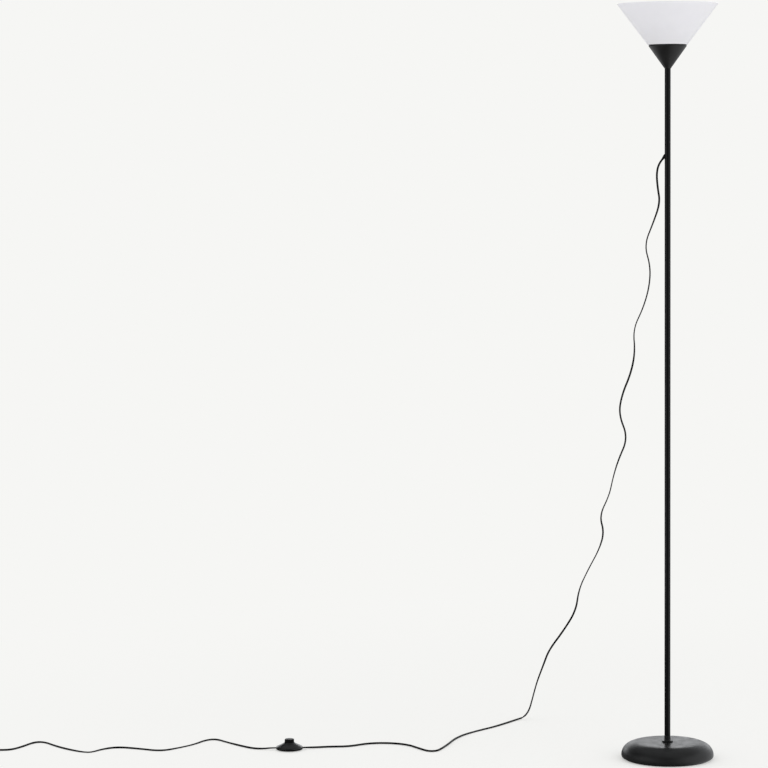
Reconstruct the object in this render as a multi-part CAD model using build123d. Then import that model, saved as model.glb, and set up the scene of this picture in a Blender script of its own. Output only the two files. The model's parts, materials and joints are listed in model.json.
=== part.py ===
"""Torchiere floor lamp: a conical uplighter shade on a three-length pole, a round weighted
foot, and a twin flex with a foot switch that hangs from the upper pole to the floor.

Millimetres, +Z up. The origin is on the floor under the middle of the base, +X is the right
side seen from the front and +Y points away from the viewer.
"""
from build123d import *
import math
import os

# Overall sizes
LAMP_HEIGHT = 1800.0
SHADE_DIAMETER = 239.0
SHADE_HEIGHT = 96.0
FITTER_HEIGHT = 56.0
BASE_DIAMETER = 221.0
BASE_HEIGHT = 40.0

# Clearances
THREAD_GAP = 0.05
SLIP_GAP = 0.1
LOOSE_GAP = 0.3

# Base
PAD_THICKNESS = 3.0
PAD_WIDTH = 16.0
PAD_INSET = 3.6
COVER_WALL = 2.5
COVER_SHOULDER_WIDTH = 28.5
COVER_SHOULDER_SLOPE_DEG = 23.5
COVER_ROLL_RADIUS = 29.0
COVER_TOP_ROUND = 5.0
COVER_FOOT_INSET = 3.0
PLATE_THICKNESS = 2.0
PLATE_INSET = 2.0
WEIGHT_GAP = 0.6
WEIGHT_FOOT_INSET = 4.0
BASE_SCREW_COUNT = 4
BASE_SCREW_CIRCLE = 66.0
BASE_SCREW_START_DEG = 45.0
BASE_SCREW_RADIUS = 1.8
BASE_SCREW_HEAD_RADIUS = 3.6
BASE_SCREW_LENGTH = 16.0
COVER_BOSS_RADIUS = 5.0
THREAD_RADIUS = 4.0
BOLT_HEAD_FLATS = 13.0
BOLT_HEAD_HEIGHT = 5.3
BOLT_RECESS_RADIUS = 18.0
BOLT_RECESS_DEPTH = 10.0
BASE_WASHER_RADIUS = 15.0
WASHER_THICKNESS = 1.5

# Pole
POLE_DIAMETER = 13.0
POLE_WALL = 1.0
POLE_SECTION_LENGTH = 666.0
INSERT_LENGTH = 24.0
STUD_LENGTH = 36.0
COLLAR_DIAMETER = 15.0
COLLAR_HEIGHT = 15.0
COLLAR_FLANGE_DIAMETER = 25.4
COLLAR_FLANGE_THICKNESS = 3.2

# Flex
CORD_DIAMETER = 3.8
CORD_ARC_SHARE = 0.45
CORD_FLOOR_Z = 2.2
GROMMET_LENGTH = 8.0
GROMMET_TIP_RADIUS = 2.7
GROMMET_ROOT_RADIUS = 4.2
GROMMET_NECK_RADIUS = 3.0
INNER_BEND_RADIUS = 16.0

# Head
FITTER_TOP_RADIUS = 44.6
FITTER_NECK_RADIUS = 7.5
FITTER_WALL = 2.2
FITTER_FLOOR = 8.0
FITTER_LIP_HEIGHT = 4.0
FITTER_LIP_ROUND = 0.6
NIPPLE_BORE_RADIUS = 2.5
NIPPLE_BELOW_CUP = 16.0
HEAD_WASHER_RADIUS = 8.0
HEAD_NUT_FLATS = 13.0
HEAD_NUT_HEIGHT = 5.0
HOLDER_RADIUS = 20.5
HOLDER_WALL = 2.0
HOLDER_HEIGHT = 42.0
HOLDER_CAP_FOOT_RADIUS = 11.0
HOLDER_CAP_HEIGHT = 15.5
HOLDER_CAP_HUB = 7.0
HOLDER_INSERT_HEIGHT = 8.0
HOLDER_SHELL_WALL = 0.7
HOLDER_SHELL_HEIGHT = 26.0
CENTRE_CONTACT_RADIUS = 4.0
CENTRE_CONTACT_HEIGHT = 2.0
TERMINAL_OFFSET = 10.0
TERMINAL_SCREW_RADIUS = 1.5
TERMINAL_HEAD_RADIUS = 3.0
TERMINAL_HEAD_HEIGHT = 1.5
WIRE_RADIUS = 0.8
WIRE_BEND_RADIUS = 2.4
SHADE_BASE_RADIUS = 47.0
SHADE_WALL = 2.0
SHADE_FLOOR = 2.0
SHADE_RIM_ROUND = 0.5
SHADE_RING_HEIGHT = 8.0
SHADE_RING_WIDTH = 5.0
SHADE_RING_FLANGE = 9.0
SHADE_RING_RIBS = 16
SHADE_RING_RIB_DEPTH = 1.0
SHADE_RING_RIB_WIDTH = 1.6

# Bulb
BULB_CAP_RADIUS = 13.2
BULB_CAP_HEIGHT = 22.0
BULB_CAP_BEVEL = 2.0
BULB_TIP_RADIUS = 4.5
BULB_TIP_HEIGHT = 1.6
BULB_INSULATOR_HEIGHT = 3.4
BULB_INSULATOR_EDGE = 1.0
BULB_GLOBE_RADIUS = 22.5
BULB_LENGTH = 78.0
BULB_BODY_HEIGHT = 20.0

# Foot switch
SWITCH_X = -912.0
SWITCH_Y = 133.0
SWITCH_RADIUS = 33.0
SWITCH_SPLIT_Z = 5.0
SWITCH_CORD_REACH = 24.0
SWITCH_CORD_LEAD = 20.0
SWITCH_TOP_Z = 18.6
SWITCH_SHOULDER_RADIUS = 29.5
SWITCH_SHOULDER_Z = 9.4
SWITCH_CONE_TOP_RADIUS = 16.0
SWITCH_CONE_TOP_Z = 15.8
SWITCH_COLLAR_RADIUS = 12.9
SWITCH_WALL = 2.0
SWITCH_FOOT_RADIUS = 29.5
SWITCH_PAD_THICKNESS = 1.0
SWITCH_PAD_RADIUS = 4.0
SWITCH_PAD_CIRCLE = 18.0
SWITCH_PAD_COUNT = 3
SWITCH_PAD_START_DEG = 30.0
SWITCH_FLOOR = 1.8
SWITCH_SCREW_COUNT = 3
SWITCH_SCREW_CIRCLE = 25.0
SWITCH_SCREW_START_DEG = 90.0
SWITCH_SCREW_RADIUS = 1.3
SWITCH_SCREW_HEAD_RADIUS = 2.4
SWITCH_SCREW_HEAD_HEIGHT = 1.0
SWITCH_SCREW_LENGTH = 6.0
SWITCH_PILLAR_RADIUS = 2.9
SWITCH_CEILING_Z = 14.6
BUTTON_RADIUS = 11.5
BUTTON_TOP_Z = 27.0
BUTTON_WALL = 2.1
BUTTON_EDGE_ROUND = 1.6
BUTTON_FLANGE_RADIUS = 13.0
BUTTON_FLANGE_THICKNESS = 1.6
BUTTON_TRAVEL = 4.0
POST_RADIUS = 2.0
STEM_RADIUS = 5.2
CROWN_TEETH = 8
CROWN_TOOTH_GAP_DEG = 1.0
CROWN_TOOTH_TOE = 0.15
ROTOR_RADIUS = 9.0
ROTOR_DISC = 1.5
ROTOR_HUB = 2.9
BRIDGE_THICKNESS = 0.6
BRIDGE_RING_RADIUS = 7.2
BRIDGE_REACH = 11.0
BRIDGE_ARM_WIDTH = 3.0
BRIDGE_ARMS = 4
BLADE_THICKNESS = 0.5
BLADE_WIDTH = 5.0
BLADE_INNER = 8.6
BLADE_OUTER = 23.5
BLADE_BLOCK_INNER = 17.5
CAGE_RADIUS = 15.0
CAGE_LEG_RADIUS = 1.4
CAGE_LEG_CIRCLE = 13.4
CAGE_PLATE = 1.4
CAGE_LEGS = 3
CAGE_LEG_START_DEG = 30.0
CAGE_CLEARANCE = 0.5
SPRING_RADIUS = 7.6
SPRING_WIRE_RADIUS = 0.5
SPRING_TURNS = 5
BLADE_SCREW_HEAD_RADIUS = 2.4
BLADE_SCREW_HEAD_HEIGHT = 1.2
CLAMP_OFFSET = 25.6
CLAMP_LENGTH = 3.0
CLAMP_WIDTH = 8.0
CLAMP_HEIGHT = 1.2

# Coil of the stored flex and its plug
COIL_OUTER_RADIUS = 28.0
COIL_TURN_STEP = 6.0
COIL_TURNS = 4
COIL_CLIMB_TURNS = 0.5
COIL_LAYER_STEP = 4.4
COIL_Z = 2.6
COIL_STRAIGHT = 4.0
COIL_LEAD_OUT = 30.0
TIE_THICKNESS = 0.5
TIE_WIDTH = 7.0
PLUG_WIDTH = 35.3
PLUG_THICKNESS = 14.0
PLUG_LENGTH = 33.0
PLUG_REAR_WIDTH = 13.0
PLUG_REAR_THICKNESS = 11.0
PLUG_WAIST_WIDTH = 32.3
PLUG_WAIST_LENGTH = 15.0
PLUG_CORNER = 3.0
PLUG_RELIEF_LENGTH = 22.0
PLUG_RELIEF_ROOT_RADIUS = 4.4
PLUG_RELIEF_TIP_RADIUS = 3.0
PIN_RADIUS = 2.0
PIN_LENGTH = 19.0
PIN_SPACING = 19.0
PIN_INSIDE = 12.0
PIN_ROOT_RADIUS = 1.5
PIN_TIP_ROUND = 0.8

# Route of the flex from the grommet down to the floor and along it to the switch
CORD_TO_SWITCH = [
    (-12, 0, 1435), (-21, 0, 1424), (-26, 3, 1401), (-23, 9, 1368), (-16, 18, 1332),
    (-31, 28, 1285), (-52, 40, 1231), (-36, 50, 1180), (-38, 59, 1130), (-52, 70, 1078),
    (-75, 82, 1028), (-69, 95, 972), (-78, 107, 920), (-99, 122, 866), (-106, 131, 818),
    (-82, 145, 760), (-105, 158, 704), (-117, 168, 660), (-125, 182, 615), (-148, 200, 563),
    (-135, 216, 520), (-146, 234, 475), (-172, 264, 420), (-193, 295, 366), (-197, 334, 308),
    (-226, 378, 250), (-260, 432, 192), (-272, 468, 148), (-288, 494, 98), (-299, 505, 52),
    (-307, 509, 22), (-321, 506, 5), (-340, 488, CORD_FLOOR_Z), (-368, 448, CORD_FLOOR_Z),
    (-402, 398, CORD_FLOOR_Z), (-442, 352, CORD_FLOOR_Z), (-480, 300, CORD_FLOOR_Z),
    (-506, 246, CORD_FLOOR_Z), (-521, 188, CORD_FLOOR_Z), (-540, 128, CORD_FLOOR_Z),
    (-553, 96, CORD_FLOOR_Z), (-574, 88, CORD_FLOOR_Z), (-594, 116, CORD_FLOOR_Z),
    (-622, 166, CORD_FLOOR_Z), (-668, 194, CORD_FLOOR_Z), (-720, 195, CORD_FLOOR_Z),
    (-766, 162, CORD_FLOOR_Z), (-815, 147, CORD_FLOOR_Z), (-847, 139, 3),
    (SWITCH_X + SWITCH_CORD_REACH + SWITCH_CORD_LEAD, SWITCH_Y, SWITCH_SPLIT_Z),
    (SWITCH_X + SWITCH_CORD_REACH, SWITCH_Y, SWITCH_SPLIT_Z),
]

# Route of the flex from the switch to the stored coil
CORD_TO_COIL = [
    (SWITCH_X - SWITCH_CORD_REACH, SWITCH_Y, SWITCH_SPLIT_Z),
    (SWITCH_X - SWITCH_CORD_REACH - SWITCH_CORD_LEAD, SWITCH_Y, SWITCH_SPLIT_Z),
    (-976, 132, 3), (-1002, 136, CORD_FLOOR_Z),
    (-1038, 178, CORD_FLOOR_Z), (-1072, 226, CORD_FLOOR_Z), (-1098, 260, CORD_FLOOR_Z),
    (-1124, 250, CORD_FLOOR_Z), (-1148, 204, CORD_FLOOR_Z), (-1184, 158, CORD_FLOOR_Z),
    (-1226, 116, CORD_FLOOR_Z), (-1280, 146, CORD_FLOOR_Z), (-1336, 170, CORD_FLOOR_Z),
    (-1372, 144, CORD_FLOOR_Z), (-1394, 104, CORD_FLOOR_Z), (-1414, 102, CORD_FLOOR_Z),
    (-1448, 138, CORD_FLOOR_Z), (-1488, 190, CORD_FLOOR_Z), (-1524, 242, CORD_FLOOR_Z),
    (-1549, 240, CORD_FLOOR_Z), (-1572, 188, CORD_FLOOR_Z), (-1594, 150, CORD_FLOOR_Z),
    (-1622, 141, CORD_FLOOR_Z), (-1650, 146, COIL_Z), (-1676, 146, COIL_Z),
]

# Levels and radii that follow from the sizes above
POLE_RADIUS = POLE_DIAMETER / 2
POLE_BORE = POLE_RADIUS - POLE_WALL
CORD_RADIUS = CORD_DIAMETER / 2
BASE_RADIUS = BASE_DIAMETER / 2
BASE_TOP_RADIUS = BASE_RADIUS - COVER_SHOULDER_WIDTH
SHOULDER_SLOPE = math.radians(COVER_SHOULDER_SLOPE_DEG)
ROLL_CENTRE_RADIUS = BASE_RADIUS - COVER_ROLL_RADIUS
ROLL_TOP_RADIUS = ROLL_CENTRE_RADIUS + COVER_ROLL_RADIUS * math.sin(SHOULDER_SLOPE)
ROLL_TOP_Z = BASE_HEIGHT - (ROLL_TOP_RADIUS - BASE_TOP_RADIUS) * math.tan(SHOULDER_SLOPE)
BASE_WIDEST_Z = ROLL_TOP_Z - COVER_ROLL_RADIUS * math.cos(SHOULDER_SLOPE)
BASE_FOOT_RADIUS = BASE_RADIUS - COVER_FOOT_INSET
COVER_CEILING_Z = BASE_HEIGHT - COVER_WALL
PLATE_RADIUS = BASE_FOOT_RADIUS - PLATE_INSET
PLATE_TOP_Z = PAD_THICKNESS + PLATE_THICKNESS
RECESS_TOP_Z = PLATE_TOP_Z + BOLT_RECESS_DEPTH
SHADE_Z = LAMP_HEIGHT - SHADE_HEIGHT
FITTER_Z = SHADE_Z - FITTER_HEIGHT
FITTER_LIP_Z = SHADE_Z - FITTER_LIP_HEIGHT
POLE_TOP_Z = FITTER_Z
SEAM_ONE_Z = BASE_HEIGHT + POLE_SECTION_LENGTH
SEAM_TWO_Z = SEAM_ONE_Z + POLE_SECTION_LENGTH
CUP_FLOOR_Z = FITTER_Z + FITTER_FLOOR
HEAD_NUT_Z = CUP_FLOOR_Z + WASHER_THICKNESS
HOLDER_CAP_Z = HEAD_NUT_Z + HEAD_NUT_HEIGHT
HOLDER_Z = HOLDER_CAP_Z + HOLDER_CAP_HEIGHT
HOLDER_BORE = HOLDER_RADIUS - HOLDER_WALL
INSERT_TOP_Z = HOLDER_Z + HOLDER_INSERT_HEIGHT
SHADE_FLOOR_TOP_Z = SHADE_Z + SHADE_FLOOR
BULB_Z = INSERT_TOP_Z + CENTRE_CONTACT_HEIGHT
BULB_CAP_Z = BULB_Z + BULB_TIP_HEIGHT + BULB_INSULATOR_HEIGHT
BULB_BODY_Z = BULB_CAP_Z + BULB_CAP_HEIGHT
BULB_GLOBE_Z = BULB_BODY_Z + BULB_BODY_HEIGHT
BULB_GLOBE_CENTRE_Z = BULB_Z + BULB_LENGTH - BULB_GLOBE_RADIUS
BULB_BODY_RADIUS = math.sqrt(BULB_GLOBE_RADIUS ** 2 - (BULB_GLOBE_CENTRE_Z - BULB_GLOBE_Z) ** 2)
SWITCH_FLOOR_Z = SWITCH_PAD_THICKNESS + SWITCH_FLOOR
SWITCH_BORE = SWITCH_RADIUS - SWITCH_WALL
FLANGE_TOP_Z = SWITCH_CEILING_Z - LOOSE_GAP
FLANGE_Z = FLANGE_TOP_Z - BUTTON_FLANGE_THICKNESS
BUTTON_CEILING_Z = BUTTON_TOP_Z - BUTTON_WALL
BUTTON_BORE = BUTTON_RADIUS - BUTTON_WALL
ROTOR_Z = SWITCH_FLOOR_Z + LOOSE_GAP
CROWN_Z = ROTOR_Z + ROTOR_HUB
STEM_CROWN_Z = CROWN_Z + 2 * BUTTON_TRAVEL + LOOSE_GAP
BRIDGE_Z = ROTOR_Z + ROTOR_DISC
BLADE_Z = BRIDGE_Z + BRIDGE_THICKNESS + LOOSE_GAP
CAGE_Z = BLADE_Z + BLADE_THICKNESS + CAGE_CLEARANCE
CAGE_TOP_Z = CAGE_Z + CAGE_PLATE
COIL_TOP_Z = COIL_Z + COIL_LAYER_STEP
COIL_START_X = CORD_TO_COIL[-1][0]
COIL_LINE_Y = CORD_TO_COIL[-1][1]
COIL_X = COIL_START_X - COIL_STRAIGHT
COIL_Y = COIL_LINE_Y - COIL_OUTER_RADIUS
COIL_INNER_RADIUS = COIL_OUTER_RADIUS - COIL_TURN_STEP * (COIL_TURNS / 2 - COIL_CLIMB_TURNS)
RELIEF_X = COIL_X - COIL_LEAD_OUT
PLUG_X = RELIEF_X - PLUG_RELIEF_LENGTH
PLUG_FACE_X = PLUG_X - PLUG_LENGTH

ON_FLOOR = (Align.CENTER, Align.CENTER, Align.MIN)
SWITCH_PLACE = Pos(SWITCH_X, SWITCH_Y, 0)


def rod(radius, bottom, top, x=0.0, y=0.0):
    """Upright cylinder between two levels."""
    return Pos(x, y, bottom) * Cylinder(radius, top - bottom, align=ON_FLOOR)


def tube(outer, inner, bottom, top, x=0.0, y=0.0):
    """Upright tube between two levels."""
    return rod(outer, bottom, top, x, y) - rod(inner, bottom, top, x, y)


def hexagon(flats, bottom, top):
    """Upright hexagonal prism, sized across its flats."""
    outline = RegularPolygon(flats / 2, 6, major_radius=False)
    return Pos(0, 0, bottom) * extrude(outline, top - bottom)


def turned(*edges):
    """Solid of revolution from a closed outline of (radius, height) edges."""
    return revolve(Plane.XZ * make_face(edges), Axis.Z)


def turned_points(*points):
    """Solid of revolution from a closed outline of (radius, height) corners."""
    return turned(*Polyline(*points, close=True).edges())


def around(count, radius, start=0.0):
    """Places spaced evenly on a circle, as (x, y) pairs."""
    angles = [math.radians(start + 360 * step / count) for step in range(count)]
    return [(radius * math.cos(angle), radius * math.sin(angle)) for angle in angles]


# Base

def cover_outline(inset):
    """Foot, flat top's edge and edges of the cover's outer face, all moved in by inset.

    From its widest level the face rolls in to a sloping shoulder that meets the flat top."""
    foot_drop = BASE_WIDEST_Z - PAD_THICKNESS
    foot_radius = (foot_drop ** 2 + COVER_FOOT_INSET ** 2) / (2 * COVER_FOOT_INSET)
    foot_centre = BASE_RADIUS - foot_radius
    foot_angle = math.asin(foot_drop / foot_radius)
    reach = foot_radius - inset
    foot = (foot_centre + reach * math.cos(foot_angle), BASE_WIDEST_Z - reach * math.sin(foot_angle))
    widest = (BASE_RADIUS - inset, BASE_WIDEST_Z)
    roll = COVER_ROLL_RADIUS - inset
    roll_out, roll_up = roll * math.sin(SHOULDER_SLOPE), roll * math.cos(SHOULDER_SLOPE)
    roll_top = (ROLL_CENTRE_RADIUS + roll_out, BASE_WIDEST_Z + roll_up)
    top = (BASE_TOP_RADIUS - inset * math.tan(SHOULDER_SLOPE / 2), BASE_HEIGHT - inset)
    lower = TangentArc(widest, foot, tangent=(0, -1))
    upper = [TangentArc(widest, roll_top, tangent=(0, 1)), Line(roll_top, top)]
    return foot, top, lower, upper


def base_cover():
    """Moulded shell with screw bosses under its flat top and room for the plate in its foot."""
    foot, top, lower, upper = cover_outline(0)
    inner_foot, inner_top, inner_lower, inner_upper = cover_outline(COVER_WALL)
    hole = THREAD_RADIUS + SLIP_GAP
    shell = turned(
        lower, *upper, Line(top, (hole, BASE_HEIGHT)), Line((hole, BASE_HEIGHT), (hole, COVER_CEILING_Z)),
        Line((hole, COVER_CEILING_Z), inner_top), *inner_upper, inner_lower, Line(inner_foot, foot))
    top_edges = shell.edges().filter_by(GeomType.CIRCLE).group_by(Axis.Z)[-1]
    shell = fillet(top_edges.sort_by(SortBy.RADIUS)[-1], COVER_TOP_ROUND)
    for x, y in around(BASE_SCREW_COUNT, BASE_SCREW_CIRCLE, BASE_SCREW_START_DEG):
        boss = tube(COVER_BOSS_RADIUS, BASE_SCREW_RADIUS + THREAD_GAP, PLATE_TOP_Z, COVER_CEILING_Z, x, y)
        shell += boss
    return shell - rod(PLATE_RADIUS + SLIP_GAP, PAD_THICKNESS, PLATE_TOP_Z)


def base_weight():
    """Concrete disc that stands on the plate, cored for the bosses and the bolt."""
    inset = COVER_WALL + WEIGHT_GAP
    _, top, _, upper = cover_outline(inset)
    widest = (BASE_RADIUS - inset, BASE_WIDEST_Z)
    foot = (PLATE_RADIUS - WEIGHT_FOOT_INSET, PLATE_TOP_Z)
    hole = THREAD_RADIUS + LOOSE_GAP
    disc = turned(
        Line((hole, PLATE_TOP_Z), foot), Line(foot, widest), *upper,
        Line(top, (hole, top[1])), Line((hole, top[1]), (hole, PLATE_TOP_Z)))
    disc -= rod(BOLT_RECESS_RADIUS, PLATE_TOP_Z, RECESS_TOP_Z)
    for x, y in around(BASE_SCREW_COUNT, BASE_SCREW_CIRCLE, BASE_SCREW_START_DEG):
        disc -= rod(COVER_BOSS_RADIUS + WEIGHT_GAP, PLATE_TOP_Z, COVER_CEILING_Z, x, y)
    return disc


def screw_cone(x, y):
    """Countersink of a base screw, from the plate's underside."""
    height = BASE_SCREW_HEAD_RADIUS - BASE_SCREW_RADIUS
    place = Pos(x, y, PAD_THICKNESS)
    return place * Cone(BASE_SCREW_HEAD_RADIUS, BASE_SCREW_RADIUS, height, align=ON_FLOOR)


def base_plate():
    plate = rod(PLATE_RADIUS, PAD_THICKNESS, PLATE_TOP_Z)
    for x, y in around(BASE_SCREW_COUNT, BASE_SCREW_CIRCLE, BASE_SCREW_START_DEG):
        plate -= rod(BASE_SCREW_RADIUS + SLIP_GAP, PAD_THICKNESS, PLATE_TOP_Z, x, y)
        plate -= screw_cone(x, y)
    return plate


def base_pad():
    outer = PLATE_RADIUS - PAD_INSET
    return tube(outer, outer - PAD_WIDTH, 0, PAD_THICKNESS)


def base_screws():
    top = PAD_THICKNESS + BASE_SCREW_LENGTH
    places = around(BASE_SCREW_COUNT, BASE_SCREW_CIRCLE, BASE_SCREW_START_DEG)
    return Compound([rod(BASE_SCREW_RADIUS, PAD_THICKNESS, top, x, y) + screw_cone(x, y) for x, y in places])


def base_bolt():
    head_top = RECESS_TOP_Z - WASHER_THICKNESS
    top = BASE_HEIGHT + INSERT_LENGTH - LOOSE_GAP
    return hexagon(BOLT_HEAD_FLATS, head_top - BOLT_HEAD_HEIGHT, head_top) + rod(THREAD_RADIUS, head_top, top)


def base_washer():
    return tube(BASE_WASHER_RADIUS, THREAD_RADIUS + SLIP_GAP, RECESS_TOP_Z - WASHER_THICKNESS, RECESS_TOP_Z)


def pole_foot_collar():
    """Flanged sleeve with a hollow fillet between its flange and its neck."""
    bore = POLE_RADIUS + SLIP_GAP
    neck = COLLAR_DIAMETER / 2
    flange = COLLAR_FLANGE_DIAMETER / 2
    flange_top = BASE_HEIGHT + COLLAR_FLANGE_THICKNESS
    top = BASE_HEIGHT + COLLAR_HEIGHT
    hollow = (flange - neck) / 2
    bevel = (neck - bore) / 2
    root = (neck + hollow, flange_top)
    crown = (neck, flange_top + hollow)
    outline = Polyline((bore, BASE_HEIGHT), (flange, BASE_HEIGHT), (flange, flange_top), root)
    sleeve = Polyline(crown, (neck, top - bevel), (neck - bevel, top), (bore, top), (bore, BASE_HEIGHT))
    return turned(*outline.edges(), TangentArc(root, crown, tangent=(-1, 0)), *sleeve.edges())


# Pole

def grommet_axis():
    """Outlet of the grommet and the unit direction from it up into the pole."""
    outlet = Vector(*CORD_TO_SWITCH[0])
    return outlet, (outlet - Vector(*CORD_TO_SWITCH[1])).normalized()


def along_grommet(radius, start, end, end_radius=None):
    """Cylinder or cone on the grommet's axis between two distances from its outlet."""
    outlet, direction = grommet_axis()
    plane = Plane(outlet + direction * start, z_dir=direction)
    if end_radius is None:
        return plane * Cylinder(radius, end - start, align=ON_FLOOR)
    return plane * Cone(radius, end_radius, end - start, align=ON_FLOOR)


def wall_reach(radius):
    """Distance along the grommet's axis from its outlet to a cylinder about the pole's axis."""
    outlet, direction = grommet_axis()
    return (-radius - outlet.X) / direction.X


def pole_section(bottom, top):
    return tube(POLE_RADIUS, POLE_BORE, bottom, top)


def pole_upper():
    section = pole_section(SEAM_TWO_Z, POLE_TOP_Z)
    return section - along_grommet(GROMMET_NECK_RADIUS + SLIP_GAP, 0, wall_reach(0))


def threaded_insert(bottom):
    return tube(POLE_BORE, THREAD_RADIUS + THREAD_GAP, bottom, bottom + INSERT_LENGTH)


def pole_joint_inserts():
    places = [SEAM_ONE_Z - INSERT_LENGTH, SEAM_ONE_Z, SEAM_TWO_Z - INSERT_LENGTH, SEAM_TWO_Z]
    return Compound([threaded_insert(bottom) for bottom in places])


def pole_joint_studs():
    half = STUD_LENGTH / 2
    return Compound([rod(THREAD_RADIUS, seam - half, seam + half) for seam in (SEAM_ONE_Z, SEAM_TWO_Z)])


def cord_grommet():
    """Sloping bush: a cone seated on the pole and a neck through its wall, bored for the flex."""
    cone = along_grommet(GROMMET_TIP_RADIUS, 0, GROMMET_LENGTH, GROMMET_ROOT_RADIUS)
    cone += along_grommet(GROMMET_ROOT_RADIUS, GROMMET_LENGTH, wall_reach(0))
    cone -= rod(POLE_RADIUS, SEAM_TWO_Z, POLE_TOP_Z)
    neck = along_grommet(GROMMET_NECK_RADIUS, GROMMET_LENGTH / 2, wall_reach(POLE_BORE) + POLE_WALL)
    bore = along_grommet(CORD_RADIUS + THREAD_GAP, 0, wall_reach(-POLE_BORE))
    return cone + neck - bore


def inner_cable():
    """Flex from the grommet up the middle of the pole into the lamp holder's cap."""
    outlet, direction = grommet_axis()
    bend = outlet + direction * wall_reach(0)
    top = Vector(0, 0, HOLDER_CAP_Z + HOLDER_CAP_HUB)
    path = FilletPolyline(outlet, bend, top, radius=INNER_BEND_RADIUS)
    return sweep(Plane(outlet, z_dir=direction) * Circle(CORD_RADIUS), path=path)


# Head

def fitter_radius(height):
    """Outer radius of the cup's cone at a height."""
    flare = (FITTER_TOP_RADIUS - FITTER_NECK_RADIUS) / (FITTER_LIP_Z - FITTER_Z)
    return FITTER_NECK_RADIUS + flare * (height - FITTER_Z)


def fitter_cup():
    """Conical cup with an upright lip and a thick floor that the nipple clamps to the pole."""
    slope = math.atan2(FITTER_TOP_RADIUS - FITTER_NECK_RADIUS, FITTER_LIP_Z - FITTER_Z)
    wall = FITTER_WALL / math.cos(slope)
    hole = THREAD_RADIUS + SLIP_GAP
    cup = turned_points(
        (hole, FITTER_Z), (FITTER_NECK_RADIUS, FITTER_Z), (FITTER_TOP_RADIUS, FITTER_LIP_Z),
        (FITTER_TOP_RADIUS, SHADE_Z), (FITTER_TOP_RADIUS - wall, SHADE_Z),
        (FITTER_TOP_RADIUS - wall, FITTER_LIP_Z), (fitter_radius(CUP_FLOOR_Z) - wall, CUP_FLOOR_Z),
        (hole, CUP_FLOOR_Z))
    lip_edges = cup.edges().filter_by(GeomType.CIRCLE).group_by(SortBy.RADIUS)[-1]
    return fillet(lip_edges, FITTER_LIP_ROUND)


def head_nipple():
    bottom = FITTER_Z - NIPPLE_BELOW_CUP
    return tube(THREAD_RADIUS, NIPPLE_BORE_RADIUS, bottom, HOLDER_CAP_Z + HOLDER_CAP_HUB - LOOSE_GAP)


def head_washer():
    return tube(HEAD_WASHER_RADIUS, THREAD_RADIUS + SLIP_GAP, CUP_FLOOR_Z, HEAD_NUT_Z)


def head_nut():
    nut = hexagon(HEAD_NUT_FLATS, HEAD_NUT_Z, HOLDER_CAP_Z)
    return nut - rod(THREAD_RADIUS + THREAD_GAP, HEAD_NUT_Z, HOLDER_CAP_Z)


def holder_cap():
    """Lower half of the lamp holder: a threaded hub that flares to the body's radius."""
    hole = THREAD_RADIUS + THREAD_GAP
    hub_top = HOLDER_CAP_Z + HOLDER_CAP_HUB
    inner_foot = HOLDER_CAP_FOOT_RADIUS - HOLDER_WALL / 2
    return turned_points(
        (hole, HOLDER_CAP_Z), (HOLDER_CAP_FOOT_RADIUS, HOLDER_CAP_Z), (HOLDER_RADIUS, HOLDER_Z),
        (HOLDER_BORE, HOLDER_Z), (inner_foot, hub_top), (hole, hub_top))


def holder_body():
    return tube(HOLDER_RADIUS, HOLDER_BORE, HOLDER_Z, HOLDER_Z + HOLDER_HEIGHT)


def terminal_places():
    return [(-TERMINAL_OFFSET, 0), (TERMINAL_OFFSET, 0)]


def holder_insert():
    """Insulating block with a seat for the screw shell and two terminal holes."""
    block = rod(HOLDER_BORE - SLIP_GAP, HOLDER_Z, INSERT_TOP_Z)
    for x, y in terminal_places():
        block -= rod(TERMINAL_SCREW_RADIUS + THREAD_GAP, HOLDER_Z, INSERT_TOP_Z, x, y)
    return block


def holder_shell():
    """Screw shell that the bulb's cap turns in."""
    bore = BULB_CAP_RADIUS + LOOSE_GAP
    return tube(bore + HOLDER_SHELL_WALL, bore, INSERT_TOP_Z, INSERT_TOP_Z + HOLDER_SHELL_HEIGHT)


def holder_contact():
    """Domed centre contact under the bulb's tip."""
    top = INSERT_TOP_Z + CENTRE_CONTACT_HEIGHT - LOOSE_GAP
    disc = rod(CENTRE_CONTACT_RADIUS, INSERT_TOP_Z, top)
    crown = disc.edges().filter_by(GeomType.CIRCLE).sort_by(Axis.Z)[-1]
    return fillet(crown, CENTRE_CONTACT_HEIGHT / 2)


def terminal_screws():
    screws = []
    for x, y in terminal_places():
        screw = rod(TERMINAL_SCREW_RADIUS, HOLDER_Z, INSERT_TOP_Z - LOOSE_GAP, x, y)
        screws.append(screw + rod(TERMINAL_HEAD_RADIUS, HOLDER_Z - TERMINAL_HEAD_HEIGHT, HOLDER_Z, x, y))
    return Compound(screws)


def holder_wires():
    """Two cores that fan out from the flex to the terminal screws."""
    start_z = HOLDER_CAP_Z + HOLDER_CAP_HUB
    end_z = HOLDER_Z - TERMINAL_HEAD_HEIGHT
    wires = []
    for side in (-1, 1):
        start = Vector(side * (WIRE_RADIUS + THREAD_GAP), 0, start_z)
        rise = start + Vector(0, 0, (end_z - start_z) - WIRE_RADIUS)
        end = Vector(side * (TERMINAL_OFFSET - TERMINAL_HEAD_RADIUS - THREAD_GAP), 0, rise.Z)
        path = FilletPolyline(start, rise, end, radius=WIRE_BEND_RADIUS)
        wires.append(sweep(Plane(start, z_dir=(0, 0, 1)) * Circle(WIRE_RADIUS), path=path))
    return Compound(wires)


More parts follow.
